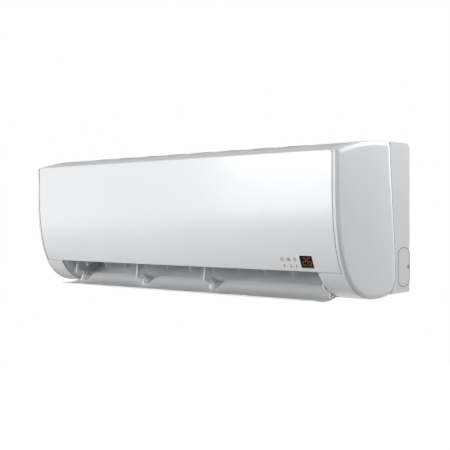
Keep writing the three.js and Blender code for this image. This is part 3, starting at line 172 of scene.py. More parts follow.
def settle(shape, name, finish, carrier, edge=0.0003, soft_angle=32.0, wall=0.0, stands_for=(),
           solid=True):
    """Turns a bmesh into a finished piece that rides on a body and stands for CAD nodes."""
    if solid and not wall:
        bmesh.ops.recalc_face_normals(shape, faces=shape.faces)
    mesh = bpy.data.meshes.new(name)
    shape.to_mesh(mesh)
    shape.free()
    mesh.materials.append(finish.material)
    mesh.shade_smooth()
    mesh.set_sharp_from_angle(angle=math.radians(soft_angle))
    made = bpy.data.objects.new(name, mesh)
    bpy.context.scene.collection.objects.link(made)
    if wall:
        thickness = made.modifiers.new("wall", "SOLIDIFY")
        thickness.thickness = wall
        thickness.offset = -1.0
    if edge:
        bevel = made.modifiers.new("edges", "BEVEL")
        bevel.width = edge
        bevel.segments = 2
        bevel.limit_method = "ANGLE"
        bevel.angle_limit = math.radians(40.0)
        bevel.harden_normals = True
    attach(made, carrier)
    if stands_for:
        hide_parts(*stands_for)


def stand_in(node, shape, finish, edge=0.0003, soft_angle=32.0, wall=0.0):
    """A piece in the place of a CAD node, riding on the node's own body."""
    carrier = body_of(frame["nodes"][node])[0]
    settle(shape, node + "_piece", finish, carrier, edge, soft_angle, wall, [node])


def weld(shape):
    """Merges the points that lie on each other."""
    bmesh.ops.remove_doubles(shape, verts=shape.verts, dist=1e-6)


def dress(node, finish, edge=0.0003, soft_angle=32.0):
    """A copy of a CAD solid, its flat faces whole and its edges softened, in its real finish."""
    shape = bmesh.new()
    shape.from_mesh(frame["nodes"][node].data)
    weld(shape)
    bmesh.ops.dissolve_limit(shape, angle_limit=math.radians(0.5), verts=shape.verts,
                             edges=shape.edges, delimit=set())
    stand_in(node, shape, finish, edge, soft_angle)


zinc = Finish("zinc_steel", metallic=1.0)
spangle = zinc.node("ShaderNodeTexVoronoi", {}, {"Vector": zinc.place, "Scale": 110.0}, "Color")
tone = zinc.node("ShaderNodeSeparateColor", {}, {"Color": spangle}, 0)
zinc.vary(tone, (0.58, 0.60, 0.62), (0.68, 0.70, 0.72), 0.38, 0.08)
zinc.relief(zinc.noise(900.0), 0.00004)
dress("wall_plate", zinc, 0.00025)


# ---------------------------------------- rear chassis
# The back half of the casing, one big moulding of satin white plastic: roof, back, side walls
# and the scroll wall behind the fan. A break-out cover closes the pipe window in each side.
satin = Finish("casing_white")
satin.vary(satin.noise(35.0), (0.80, 0.815, 0.835), (0.83, 0.845, 0.86), 0.36, 0.10)
satin.relief(satin.noise(2600.0, 3.0), 0.000025)
for node in ["rear_chassis", "pipe_cover_right", "pipe_cover_left"]:
    dress(node, satin, 0.0004)


# ---------------------------------------- pipes
# Two copper pipes run from the coil's right end down behind the fan and along the channel at the
# bottom of the back, where one clamp holds them. Each ends in a turned brass flare nut.
copper = Finish("copper_tube", metallic=1.0)
copper.vary(copper.noise(60.0, 4.0), (0.72, 0.36, 0.22), (0.50, 0.22, 0.13), 0.22, 0.25)
copper.relief(copper.noise(700.0), 0.00003)
brass = Finish("brass_nut", metallic=1.0)
turning = brass.noise(500.0, 2.0, (6.0, 1.0, 1.0))
brass.vary(turning, (0.74, 0.57, 0.28), (0.60, 0.44, 0.20), 0.22, 0.15)
brass.relief(turning, 0.00004)
chalk = Finish("inner_white")
chalk.vary(chalk.noise(40.0), (0.74, 0.755, 0.775), (0.79, 0.805, 0.82), 0.44, 0.12)
chalk.relief(chalk.noise(1800.0, 3.0), 0.00003)


def curve(start, pull, other_pull, end, steps):
    """Points along a smooth curve that is pulled towards two points on its way."""
    corners = [Vector(corner) for corner in (start, pull, other_pull, end)]
    return geometry.interpolate_bezier(*corners, steps)


def bent_route(corners):
    """A pipe's middle line through corners, with a smooth bend at each."""
    route = [Vector(corners[0])]
    for before, corner, after in zip(corners, corners[1:], corners[2:]):
        corner = Vector(corner)
        entry = corner + (Vector(before) - corner).normalized() * pipe_bend
        leave = corner + (Vector(after) - corner).normalized() * pipe_bend
        route += curve(entry, entry.lerp(corner, bend_pull), leave.lerp(corner, bend_pull), leave,
                       bend_steps)
    return [*route, Vector(corners[-1])]


def pipe(route, radius):
    """A round pipe along a route, its ends closed."""
    line = bpy.data.curves.new("route", "CURVE")
    line.dimensions = "3D"
    line.bevel_depth = radius
    line.bevel_resolution = 4
    line.use_fill_caps = True
    track = line.splines.new("POLY")
    track.points.add(len(route) - 1)
    for spot, point in zip(track.points, route):
        spot.co = (*point, 1.0)
    holder = bpy.data.objects.new("route", line)
    shape = bmesh.new()
    shape.from_mesh(holder.to_mesh())
    bpy.data.objects.remove(holder)
    weld(shape)
    return shape


pipe_bend = 0.011
bend_pull = 0.6
bend_steps = 9
gas_route = [(0.3166, -0.0591, 0.0611), (0.372, -0.0591, 0.0611), (0.372, -0.024, 0.0541),
             (0.372, -0.024, -0.088), (0.052, -0.024, -0.088)]
liquid_route = [(0.3166, -0.0474, 0.0439), (0.352, -0.0474, 0.0439), (0.352, -0.024, 0.0392),
                (0.352, -0.024, -0.072), (0.086, -0.024, -0.072)]
gas_radius = 0.0048
liquid_radius = 0.0032
stand_in("gas_pipe", pipe(bent_route(gas_route), gas_radius), copper, 0.0, 50.0)
stand_in("liquid_pipe", pipe(bent_route(liquid_route), liquid_radius), copper, 0.0, 50.0)
for node in ["gas_flare_nut", "liquid_flare_nut"]:
    dress(node, brass, 0.0006)
dress("pipe_clamp", chalk)


# ---------------------------------------- fan and motor
# A cross-flow fan nearly as long as the outlet, moulded of dark plastic in bays of curved blades.
# Its steel shaft runs in a rubber bush on the left, and in the motor on the right.
dark = Finish("dark_plastic")
dark.vary(dark.noise(50.0), (0.055, 0.06, 0.066), (0.085, 0.09, 0.096), 0.42, 0.15)
dark.relief(dark.noise(1500.0, 3.0), 0.00003)
rubber = Finish("black_rubber")
rubber.vary(rubber.noise(90.0, 4.0), (0.025, 0.025, 0.026), (0.055, 0.055, 0.055), 0.78, 0.15)
rubber.relief(rubber.noise(1200.0), 0.00005)


def points_of(made):
    """The points among what an operator has made."""
    return [item for item in made if isinstance(item, bmesh.types.BMVert)]


def bar(shape, outline, left, right):
    """A solid with the same outline, in Y and Z, all the way from left to right."""
    face = shape.faces.new([shape.verts.new((left, *point)) for point in outline])
    made = bmesh.ops.extrude_face_region(shape, geom=[face])["geom"]
    bmesh.ops.translate(shape, verts=points_of(made), vec=(right - left, 0.0, 0.0))


def chain(shape, places):
    """Points in a row, and the edges that join them."""
    points = [shape.verts.new(place) for place in places]
    return points, [shape.edges.new(pair) for pair in zip(points, points[1:])]


def turned(shape, profile, y, z, segments):
    """A body of revolution about a line along X; its profile is a list of X and radius."""
    points, edges = chain(shape, [(x, y, z + radius) for x, radius in profile])
    bmesh.ops.spin(shape, geom=[*points, *edges], cent=(0.0, y, z), axis=(1.0, 0.0, 0.0),
                   angle=math.tau, steps=segments, use_merge=True)
    weld(shape)


def about(y, z, distance, angle):
    """The point at a distance and an angle, in degrees, from another."""
    turn = math.radians(angle)
    return Vector((y + distance * math.cos(turn), z + distance * math.sin(turn)))


fan_y = -0.098
fan_z = -0.018
fan_left = -0.346
fan_right = 0.326
fan_radius = 0.045
fan_hollow = 0.033
fan_bays = 8
fan_blades = 34
bay_twist = 0.37
disc_thickness = 0.003
disc_round = 0.0005
blade_profile = [(0.0444, 0.0), (0.0405, 3.0), (0.0368, 7.5), (0.0336, 14.0),
                 (0.0340, 16.0), (0.0374, 10.0), (0.0411, 5.6), (0.0446, 1.4)]
fan_pitch = (fan_right - fan_left - disc_thickness) / fan_bays
shape = bmesh.new()
for bay in range(fan_bays):
    left = fan_left + bay * fan_pitch + disc_thickness / 2.0
    for blade in range(fan_blades):
        start = 360.0 * (blade + bay_twist * bay) / fan_blades
        outline = [about(fan_y, fan_z, distance, start + angle)
                   for distance, angle in blade_profile]
        bar(shape, outline, left, left + fan_pitch)
for station in range(fan_bays + 1):
    left = fan_left + station * fan_pitch
    right = left + disc_thickness
    if station in (0, fan_bays):
        profile = [(left, 0.0), (left, fan_radius - disc_round), (left + disc_round, fan_radius),
                   (right - disc_round, fan_radius), (right, fan_radius - disc_round),
                   (right, 0.0)]
    else:
        profile = [(left, fan_hollow), (left, fan_radius), (right, fan_radius),
                   (right, fan_hollow), (left, fan_hollow)]
    turned(shape, profile, fan_y, fan_z, 48)
stand_in("cross_flow_fan", shape, dark, 0.0, 35.0)

shaft_radius = 0.005
shaft_left = -0.3633
shaft_right = 0.346
shaft_chamfer = 0.0007
hub_radius = 0.010
hub_face = fan_right + 0.004
shape = bmesh.new()
turned(shape, [(shaft_left, 0.0), (shaft_left, shaft_radius - shaft_chamfer),
               (shaft_left + shaft_chamfer, shaft_radius), (fan_left, shaft_radius),
               (fan_left, 0.0)], fan_y, fan_z, 24)
turned(shape, [(fan_right, 0.0), (fan_right, hub_radius), (hub_face, hub_radius - 0.0008),
               (hub_face, shaft_radius), (shaft_right, shaft_radius), (shaft_right, 0.0)],
       fan_y, fan_z, 24)
settle(shape, "fan_shaft", zinc, "fan", 0.0)

dress("bearing_bush", rubber, 0.0006)
dress("bearing_holder", chalk, 0.0006)
motor_shell = [(0.3380, 0.0058), (0.3380, 0.0150), (0.3420, 0.0160), (0.3425, 0.0335),
               (0.3450, 0.0375), (0.3490, 0.0395), (0.3540, 0.0400), (0.3590, 0.0400),
               (0.3592, 0.0394), (0.3768, 0.0394), (0.3770, 0.0400), (0.3880, 0.0400),
               (0.3930, 0.0388), (0.3965, 0.0360), (0.3980, 0.0310), (0.3980, 0.0120),
               (0.3965, 0.0110), (0.3965, 0.0)]
motor_bore = [(0.3380, 0.0058), (0.3490, 0.0058), (0.3490, 0.0)]
shape = bmesh.new()
turned(shape, motor_shell, fan_y, fan_z, 48)
turned(shape, motor_bore, fan_y, fan_z, 24)
stand_in("fan_motor", shape, zinc, 0.0, 30.0)
dress("motor_clamp", chalk, 0.0006)


# ---------------------------------------- coil
# The heat exchanger bends round the fan in three banks of thin aluminium fins on copper tubes,
# with return bends beyond the tube sheet at each end. A small sensor sits among the bends.
fins = Finish("fin_aluminium", metallic=1.0)
streak = fins.noise(120.0, 3.0, (1.0, 0.2, 0.2))
fins.vary(streak, (0.66, 0.69, 0.71), (0.80, 0.82, 0.83), 0.3, 0.2)
fins.relief(fins.noise(900.0, 1.0, (0.1, 1.0, 1.0)), 0.00004)
coil_left = -0.345
coil_right = 0.315
coil_thickness = 0.022
fin_pitch = 0.0018
fin_thickness = 0.0003
front_low, front_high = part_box("coil_front")
front_y = (front_low.y + front_high.y) / 2.0
banks = {
    "coil_front": (Vector((front_y, front_low.z)), Vector((front_y, front_high.z))),
    "coil_upper": (Vector((-0.163, 0.049)), Vector((-0.102, 0.108))),
    "coil_rear": (Vector((-0.087, 0.102)), Vector((-0.042, 0.036))),
}


def bank_spot(bank, distance, side):
    """A point so far along a bank, and so far to one side of its middle line."""
    start, end = banks[bank]
    way = (end - start).normalized()
    return start + way * distance + Vector((-way.y, way.x)) * side


def bank_outline(bank, margin):
    """The four corners of a bank's end, so much larger all round."""
    start, end = banks[bank]
    length = (end - start).length
    half = coil_thickness / 2.0 + margin
    return [bank_spot(bank, -margin, half), bank_spot(bank, length + margin, half),
            bank_spot(bank, length + margin, -half), bank_spot(bank, -margin, -half)]


fin_count = int((coil_right - coil_left) / fin_pitch)
for bank in banks:
    shape = bmesh.new()
    bar(shape, bank_outline(bank, 0.0), coil_left, coil_left + fin_thickness)
    bmesh.ops.spin(shape, geom=[*shape.verts, *shape.edges, *shape.faces], angle=0.0,
                   dvec=(fin_pitch, 0.0, 0.0), steps=fin_count, use_duplicate=True,
                   cent=(0.0, 0.0, 0.0), axis=(1.0, 0.0, 0.0))
    stand_in(bank, shape, fins, 0.0)

bend_pitch = 0.016
bend_reach = 0.006
tube_radius = 0.0035
tube_row = coil_thickness / 4.0
sheet_thickness = 0.001
sheet_margin = 0.0018
sheet_gap = 0.0003
right_bends = [("coil_front", 0.011), ("coil_front", 0.038), ("coil_front", 0.064),
               ("coil_upper", 0.010), ("coil_upper", 0.044), ("coil_rear", 0.008)]
left_bends = [*right_bends, ("coil_rear", 0.036)]
tube_profile = [(coil_left, 0.0), (coil_left, tube_radius), (coil_right, tube_radius),
                (coil_right, 0.0)]
tubes = bmesh.new()
for bank, place in left_bends:
    for distance, side in ((place, tube_row), (place + bend_pitch, -tube_row)):
        spot = bank_spot(bank, distance, side)
        turned(tubes, tube_profile, spot.x, spot.y, 12)
settle(tubes, "coil_tubes", copper, "casing", 0.0)


def circle(shape, radius, segments):
    """The points of a circle round the origin, and the edges that join them."""
    points = bmesh.ops.create_circle(shape, segments=segments, radius=radius)["verts"]
    return points, [edge for edge in shape.edges
                    if edge.verts[0] in points and edge.verts[1] in points]


def draw_out(shape, edges, reach):
    """Draws edges out along X into faces; gives the points and edges at their far side."""
    made = bmesh.ops.extrude_edge_only(shape, edges=edges)["geom"]
    points = points_of(made)
    bmesh.ops.translate(shape, verts=points, vec=(reach, 0.0, 0.0))
    return points, [item for item in made if isinstance(item, bmesh.types.BMEdge)
                    and item.verts[0] in points and item.verts[1] in points]


def return_bend(shape, bank, place, start, side):
    """A hairpin's bend between two tubes, standing out from the sheet to one side."""
    first = bank_spot(bank, place, tube_row)
    second = bank_spot(bank, place + bend_pitch, -tube_row)
    middle = (first + second) / 2.0
    across = (second - first).normalized()
    reach = bend_reach * side
    ring, edges = circle(shape, tube_radius, 14)
    bmesh.ops.rotate(shape, verts=ring, cent=(0.0, 0.0, 0.0),
                     matrix=Matrix.Rotation(math.pi / 2, 3, "Y"))
    bmesh.ops.translate(shape, verts=ring, vec=(start, *first))
    far, rim = draw_out(shape, edges, reach)
    swing = bmesh.ops.spin(shape, geom=[*far, *rim], cent=(start + reach, *middle),
                           axis=(0.0, across.y * side, -across.x * side), angle=math.pi, steps=12)
    last = [item for item in swing["geom_last"] if isinstance(item, bmesh.types.BMEdge)]
    draw_out(shape, last, -reach)


for side_name, bends, side, inner_x in (("right", right_bends, 1.0, coil_right + sheet_gap),
                                        ("left", left_bends, -1.0, coil_left - sheet_gap)):
    outer_x = inner_x + sheet_thickness * side
    plate = bmesh.new()
    for bank in banks:
        outline = [Vector((point.x, max(point.y, front_low.z)))
                   for point in bank_outline(bank, sheet_margin)]
        bar(plate, outline, inner_x, outer_x)
    settle(plate, f"sheet_plate_{side_name}", zinc, "casing", 0.0002)
    shape = bmesh.new()
    for bank, place in bends:
        return_bend(shape, bank, place, outer_x, side)
    weld(shape)
    stand_in(f"tube_sheet_{side_name}", shape, copper, 0.0)
dress("coil_sensor", copper, 0.0004, 50.0)


# ---------------------------------------- outlet duct
# The inner walls and ceiling of the air outlet and the drain trough above them, one moulding of
# plain white plastic that hooks into the chassis. Its colour is partly painted light: a lighter
# copy of the inner white, so that the shaded outlet and its hangers read bright. A rubber spigot
# drains the trough.
lightened_inner_white = Finish("inner_white")
lightened_inner_white.vary(lightened_inner_white.noise(60.0), (0.86, 0.87, 0.88), (0.89, 0.90, 0.91), 0.30, 0.08)
dress("outlet_duct", lightened_inner_white)
dress("drain_spigot", rubber)


# ---------------------------------------- steering vanes
# Ten upright blades in the outlet turn on pins in its ceiling. One long link joins them to a
# crank on a small stepper motor at the right end.
def upright(shape, profile, x, y, segments):
    """A body of revolution about an upright line; its profile is a list of height and radius."""
    standing = set(shape.verts)
    turned(shape, profile, 0.0, 0.0, segments)
    fresh = [vert for vert in shape.verts if vert not in standing]
    bmesh.ops.rotate(shape, verts=fresh, cent=(0.0, 0.0, 0.0),
                     matrix=Matrix.Rotation(math.radians(-90.0), 3, "Y"))
    bmesh.ops.translate(shape, verts=fresh, vec=(x, y, 0.0))


vane_count = 10
vane_y = -0.150
vane_top = -0.066
vane_half = 0.0008
vane_pitch = 0.066
vane_pin = [(-0.0050, 0.0), (-0.0050, 0.0014), (0.0086, 0.0014), (0.0090, 0.0010), (0.0090, 0.0)]
link_pin = [(-0.0194, 0.0), (-0.0194, 0.0012), (-0.0086, 0.0012), (-0.0086, 0.0)]
link_pin_y = vane_y + 0.017
vane_outline = [
    (-0.0160, -0.0152), (-0.0015, -0.0015), (0.0190, 0.0), (0.0190, -0.0096), (0.0102, -0.0096),
    (0.0102, -0.0184), (0.0190, -0.0184), (0.0190, -0.0225), (0.0070, -0.0230), (-0.0076, -0.0314),
    (-0.0092, -0.0317), (-0.0106, -0.0300),
]
for index in range(vane_count):
    x = (index - (vane_count - 1) / 2.0) * vane_pitch
    shape = bmesh.new()
    for pin, y, segments in ((vane_pin, vane_y, 20), (link_pin, link_pin_y, 14)):
        upright(shape, [(vane_top + height, radius) for height, radius in pin], x, y, segments)
    bar(shape, [(vane_y + y, vane_top + z) for y, z in vane_outline], x - vane_half, x + vane_half)
    stand_in(f"vane_{index + 1}", shape, chalk, 0.0002)
dress("vane_link", chalk)
dress("vane_crank", chalk)

crank_x = 0.385
stepper_shell = [(-0.0733, 0.0024), (-0.0733, 0.0118), (-0.0728, 0.0130), (-0.0700, 0.0130),
                 (-0.0698, 0.0125), (-0.0612, 0.0125), (-0.0610, 0.0130), (-0.0564, 0.0130),
                 (-0.0558, 0.0120), (-0.0558, 0.0)]
stepper_bore = [(-0.0733, 0.0024), (-0.0675, 0.0024), (-0.0675, 0.0)]
shape = bmesh.new()
upright(shape, stepper_shell, crank_x, vane_y, 40)
upright(shape, stepper_bore, crank_x, vane_y, 20)
stand_in("vane_motor", shape, zinc, 0.0)


# ---------------------------------------- flap and hangers
# The air flap is a long bowed blade of gloss white plastic with lugs on its inner face, which
# turn on four hangers under the outlet's ceiling. A stepper motor at the right end turns it, and
# a black seal closes the gap at each of its ends.
gloss = Finish("gloss_white", coat_weight=0.3, coat_roughness=0.12)
gloss.vary(gloss.noise(25.0), (0.85, 0.865, 0.88), (0.87, 0.885, 0.90), 0.28, 0.06)
gloss.relief(gloss.noise(160.0, 1.0), 0.000008)

brow = curve((-0.086, 0.1325), (-0.125, 0.1325), (-0.165, 0.1236), (-0.200, 0.1121), 24)
chin = curve((-0.200, 0.0601), (-0.200, -0.0999), (-0.155, -0.1325), (-0.100, -0.1325), 64)
heel = curve((-0.100, -0.1325), (-0.0867, -0.1325), (-0.0725, -0.1305), (-0.0575, -0.1266), 10)
under_line = [*chin, *heel[1:]]


def inside(line, depth):
    """The same line, moved so far into the casing."""
    moved = []
    for index, point in enumerate(line):
        before = line[max(index - 1, 0)]
        after = line[min(index + 1, len(line) - 1)]
        way = (after - before).normalized()
        moved.append(point - Vector((way.y, -way.x)) * depth)
    return moved


def wall(line, thickness, depth=0.0):
    """The outline of a wall that follows a line, its face so far inside it."""
    return [*inside(line, depth), *reversed(inside(line, depth + thickness))]


def step_lengths(line):
    """The length of each step along a line."""
    return [(end - start).length for start, end in zip(line, line[1:])]


def between(line, first, last):
    """The part of a line between two shares of its length, with its ends exact."""
    lengths = step_lengths(line)
    low = first * sum(lengths)
    high = last * sum(lengths)
    part = []
    for start, end, length in zip(line, line[1:], lengths):
        if low < length and high > 0.0:
            way = (end - start).normalized()
            part = part or [start + way * max(low, 0.0)]
            stop = start + way * min(high, length)
            if (stop - part[-1]).length > 1e-6:
                part.append(stop)
        low -= length
        high -= length
    return part


def crossing(line, axis, value):
    """The share of a line's length at which it first crosses a value of Y, axis 0, or Z, axis 1."""
    lengths = step_lengths(line)
    run = 0.0
    for start, end, length in zip(line, line[1:], lengths):
        if (start[axis] - value) * (end[axis] - value) <= 0.0 and start[axis] != end[axis]:
            run += length * (value - start[axis]) / (end[axis] - start[axis])
            break
        run += length
    return run / sum(lengths)


flap_y = -0.127
flap_z = -0.1145
hanger_places = [-0.355, -0.1452, 0.05702, 0.355]
hanger_half = 0.0015
hanger_lip_reach = 0.0032
eye = [about(flap_y, flap_z, 0.006, angle) for angle in range(-110, 131, 20)]
arm_front = [(-0.1640, -0.0776), (-0.1560, -0.0815), (-0.1485, -0.0862), (-0.1448, -0.0935),
             (-0.1452, -0.1040), (-0.1470, -0.1110), (-0.1471, -0.1140), (-0.1460, -0.1160),
             (-0.1400, -0.1190), (-0.1340, -0.1203)]
arm_rear = [(-0.1365, -0.1098), (-0.1400, -0.1090), (-0.1398, -0.1040), (-0.1368, -0.0960),
            (-0.1345, -0.0900), (-0.1370, -0.0860), (-0.1405, -0.0830), (-0.1420, -0.0770),
            (-0.1540, -0.0681), (-0.1566, -0.0706), (-0.1604, -0.0740)]
hanger_lip = [*arm_front[3:7], (-0.1459, -0.1142), (-0.1457, -0.1112), (-0.1438, -0.1040),
              (-0.1434, -0.0935)]
# The hangers take the lightened inner white too: partly painted light.
for index, x in enumerate(hanger_places):
    shape = bmesh.new()
    bar(shape, [*arm_front, *eye, *arm_rear], x - hanger_half, x + hanger_half)
    bar(shape, hanger_lip, x - hanger_lip_reach, x + hanger_half)
    stand_in(f"flap_hanger_{index + 1}", shape, lightened_inner_white, 0.0005, 40.0)

flap_end = 0.3656
flap_top = -0.0886
flap_back = -0.113
flap_thickness = 0.003
flap_turn = Matrix.Rotation(math.radians(50.6), 3, "X")
end_seal_from = 0.3662
end_seal_to = 0.3671
outlet_run = between(under_line, crossing(under_line, 1, flap_top),
                     crossing(under_line, 0, flap_back))
shape = bmesh.new()
for side in (-1.0, 1.0):
    bar(shape, wall(outlet_run, 0.0010, 0.0002), side * end_seal_from, side * end_seal_to)
settle(shape, "flap_end_seals", rubber, "casing", 0.0)

flap_run = inside(outlet_run, 0.0001)
thinned = inside(flap_run, flap_thickness)
for index, point in enumerate(flap_run):
    edge_share = min(index, len(flap_run) - 1 - index) / len(flap_run)
    thinned[index] = point.lerp(thinned[index], min(0.4 + 4.0 * edge_share, 1.0))
shape = bmesh.new()
bar(shape, [*flap_run, *reversed(thinned)], -flap_end, flap_end)
lug_run = between(under_line, crossing(under_line, 0, -0.148), crossing(under_line, 0, -0.118))
lug_base = inside(lug_run, flap_thickness * 0.6)
lug_crown = [about(flap_y, flap_z, 0.0045, angle) for angle in range(20, 161, 14)]
lug_offset = 0.0021
lug_width = 0.0026
pin_radius = 0.0022
for x in hanger_places:
    lug_left = x + lug_offset
    bar(shape, [*lug_base, *lug_crown], lug_left, lug_left + lug_width)
    turned(shape, [(x - 0.0025, 0.0), (x - 0.0025, 0.0018), (x - 0.0021, pin_radius),
                   (lug_left + 0.001, pin_radius), (lug_left + 0.001, 0.0)], flap_y, flap_z, 20)
turned(shape, [(0.355, 0.0), (0.355, pin_radius), (0.3738, pin_radius), (0.3738, 0.0)],
       flap_y, flap_z, 20)
bmesh.ops.rotate(shape, verts=shape.verts, cent=(0.0, flap_y, flap_z), matrix=flap_turn)
stand_in("flap", shape, gloss, 0.0006, 28.0)

claw_offset = 0.0066
claw_pitch = 0.0034
claw_width = 0.0013
claws = bmesh.new()
for x in hanger_places[:3]:
    for step in range(3):
        left = x + claw_offset + claw_pitch * step
        peak = Vector((flap_y - 0.004 - 0.002 * step, flap_z + 0.0030 - 0.0022 * step))
        bar(claws, [*lug_base, peak + Vector((0.0015, 0.0)), peak], left, left + claw_width)
bmesh.ops.rotate(claws, verts=claws.verts, cent=(0.0, flap_y, flap_z), matrix=flap_turn)
settle(claws, "flap_buttresses", gloss, "flap", 0.0002)

flap_motor_shell = [(0.3698, 0.0), (0.3698, 0.0125), (0.3703, 0.014), (0.3740, 0.014),
                    (0.3742, 0.0134), (0.3800, 0.0134), (0.3802, 0.014), (0.3853, 0.014),
                    (0.3858, 0.0130), (0.3858, 0.0)]
shape = bmesh.new()
turned(shape, flap_motor_shell, flap_y + 0.003, flap_z + 0.0075, 40)
stand_in("flap_motor", shape, zinc, 0.0)


# ---------------------------------------- control box
# A white plastic box beside the coil holds the circuit board and the terminals for the supply.
# Its cover has a round hole for the button that runs the unit by hand.
board = Finish("circuit_board")
board.vary(board.noise(200.0, 3.0), (0.04, 0.19, 0.085), (0.06, 0.25, 0.12), 0.3, 0.2)
board.relief(board.noise(900.0), 0.00004)
for node in ["control_box", "control_cover"]:
    dress(node, chalk)
dress("control_board", board, 0.0001)
dress("terminal_block", dark)
dress("manual_button", satin)


# ---------------------------------------- air filters
# Two bowed frames of grey plastic, filled with fine woven mesh, lie over the coil. They slide
# out from under the open panel to be washed.
mesh_grey = Finish("filter_mesh")
mesh_grey.vary(mesh_grey.noise(60.0), (0.40, 0.44, 0.47), (0.48, 0.52, 0.55), 0.65, 0.1)
mesh_grey.relief(mesh_grey.noise(1200.0), 0.0001)
weave = Finish("filter_mesh", roughness=0.6)
mottle = weave.noise(40.0)
weave.set(base_color=weave.blend(mottle, (0.30, 0.33, 0.36), (0.38, 0.42, 0.45)))
across = weave.node("ShaderNodeSeparateXYZ", {}, {"Vector": weave.place}, "X")
run = weave.node("ShaderNodeAttribute", {"attribute_name": "run"}, {}, "Fac")
thread_pitch = 0.0016
warp = (across % thread_pitch) / thread_pitch < 0.42
weft = (run % thread_pitch) / thread_pitch < 0.42
weave.set(alpha=weave.node("ShaderNodeMath", {"operation": "MAXIMUM"}, {0: warp, 1: weft}))

casing_line = [Vector((-0.0583, 0.1325)), *brow, *chin]
filter_run = inside(between(casing_line, crossing(casing_line, 0, -0.0621),
                            crossing(casing_line, 1, -0.0312)), 0.008)
filter_thickness = 0.0016
filter_near = 0.0021
filter_far = 0.3449
cross_bars = ((0.0, 0.03), (0.245, 0.252), (0.495, 0.502), (0.745, 0.752), (0.965, 1.0))
rails = 6
rail_half = 0.0010
edge_half = 0.0030
tab_half = 0.018
for side_name, side in (("right", 1.0), ("left", -1.0)):
    near = filter_near * side
    far = filter_far * side
    shape = bmesh.new()
    for low, high in cross_bars:
        bar(shape, wall(between(filter_run, low, high), filter_thickness), near, far)
    for rail in range(rails + 1):
        shift = {0: edge_half, rails: -edge_half}.get(rail, 0.0)
        half = abs(shift) or rail_half
        middle = near + (far - near) * rail / rails + side * shift
        bar(shape, wall(filter_run, filter_thickness), middle - half, middle + half)
    tab = (near + far) / 2.0
    bar(shape, wall(between(filter_run, 0.955, 1.0), 0.003), tab - tab_half, tab + tab_half)
    stand_in(f"filter_{side_name}", shape, mesh_grey, 0.0002)

    sheet = bmesh.new()
    run_layer = sheet.verts.layers.float.new("run")
    middle_run = inside(filter_run, filter_thickness / 2.0)
    points, edges = chain(sheet, [(near, *point) for point in middle_run])
    total = 0.0
    for vert, before in zip(points, [points[0], *points]):
        total += (vert.co - before.co).length
        vert[run_layer] = total
    draw_out(sheet, edges, far - near)
    settle(sheet, f"filter_mesh_{side_name}", weave, "casing", 0.0, solid=False)


# ---------------------------------------- casing front
# The moulded front frame has the two cheeks beside the outlet and the lip under it. The moulded
# intake grille closes the top with slats like a louvre, each set between ribs. In eight of its
# bays, dark strips laid over the front slats are painted shadow for the shade inside those slots.
dress("front_frame", gloss, 0.0006)

grille_end = 0.4183
grille_wall = 0.0025
grille_line = between(casing_line, crossing(casing_line, 0, -0.0587),
                      crossing(casing_line, 0, -0.1924))
grille_length = sum(step_lengths(grille_line))
bay_pitch = 0.080
bays = 10
rib_half = 0.0015
rib_depth = 0.0045
slot_from = 0.008
slot_to = grille_length - 0.030
slat_pitch = 0.0085
slats = int((slot_to - slot_from) / slat_pitch)
slat_half = 0.0016
slat_depth = 0.0042
slat_lean = Vector((0.0022, 0.0))
shape = bmesh.new()
for low, high in ((0.0, slot_from / grille_length), (slot_to / grille_length, 1.0)):
    bar(shape, wall(between(grille_line, low, high), grille_wall), -grille_end, grille_end)
slot_run = between(grille_line, slot_from / grille_length - 0.002, slot_to / grille_length + 0.002)
outer_rib = bays / 2.0 * bay_pitch - rib_half
for side in (-1.0, 1.0):
    bar(shape, wall(slot_run, grille_wall), side * outer_rib, side * grille_end)
for rib in range(1, bays):
    middle = (rib - bays / 2.0) * bay_pitch
    bar(shape, wall(slot_run, rib_depth, 0.0001), middle - rib_half, middle + rib_half)
# Dark strips over the front slats of eight bays: painted shadow for the shaded slots.
dark_from = 0.053
dark_to = 0.071
dark_half = 0.0215
dark_offset = 0.032
painted_shadows = bmesh.new()
for slat in range(1, slats):
    centre = slot_from + slat * (slot_to - slot_from) / slats
    top = between(grille_line, (centre - slat_half) / grille_length,
                  (centre + slat_half) / grille_length)
    foot = [point + slat_lean for point in inside(top, slat_depth)]
    bar(shape, [*inside(top, 0.0002), *reversed(foot)], -outer_rib, outer_rib)
    if dark_from < centre < dark_to:
        for bay in range(-4, 4):
            middle = bay * bay_pitch + dark_offset
            bar(painted_shadows, wall(top, 0.0024), middle - dark_half, middle + dark_half)
stand_in("intake_grille", shape, chalk)
settle(painted_shadows, "grille_painted_shadows", dark, "casing", 0.0)


# ---------------------------------------- end caps
# A rounded gloss white cap clips over each end of the casing. Its side face is flat in the
# middle and falls away towards its rim. Black strips set in its seam and in the gap round the
# pipe cover are painted shadow, for the dark gap lines there.
cap_brow = curve((-0.086, 0.1325), (-0.125, 0.1325), (-0.165, 0.1236), (-0.200, 0.1121), 11)
cap_line = [Vector((-0.0583, 0.1325)), *cap_brow, *chin, *heel[1:]]
seam_line = [
    *curve((-0.0575, -0.1266), (-0.0465, -0.1170), (-0.0420, -0.1050), (-0.0420, -0.0880), 14),
    *curve((-0.0420, -0.0880), (-0.0420, -0.0500), (-0.0540, 0.0600), (-0.0583, 0.1325), 20)[1:],
]
cap_inner_x = 0.4186
cap_outer_x = 0.4275
rim_width = 0.009
rim_drop = 0.0028
edge_radius = 0.0012
ring_widths = [0.0001, 0.0002, 0.0003, 0.0006] + [0.0013] * 6
seam_rim_drop = 0.0024
cap_wall = 0.0024


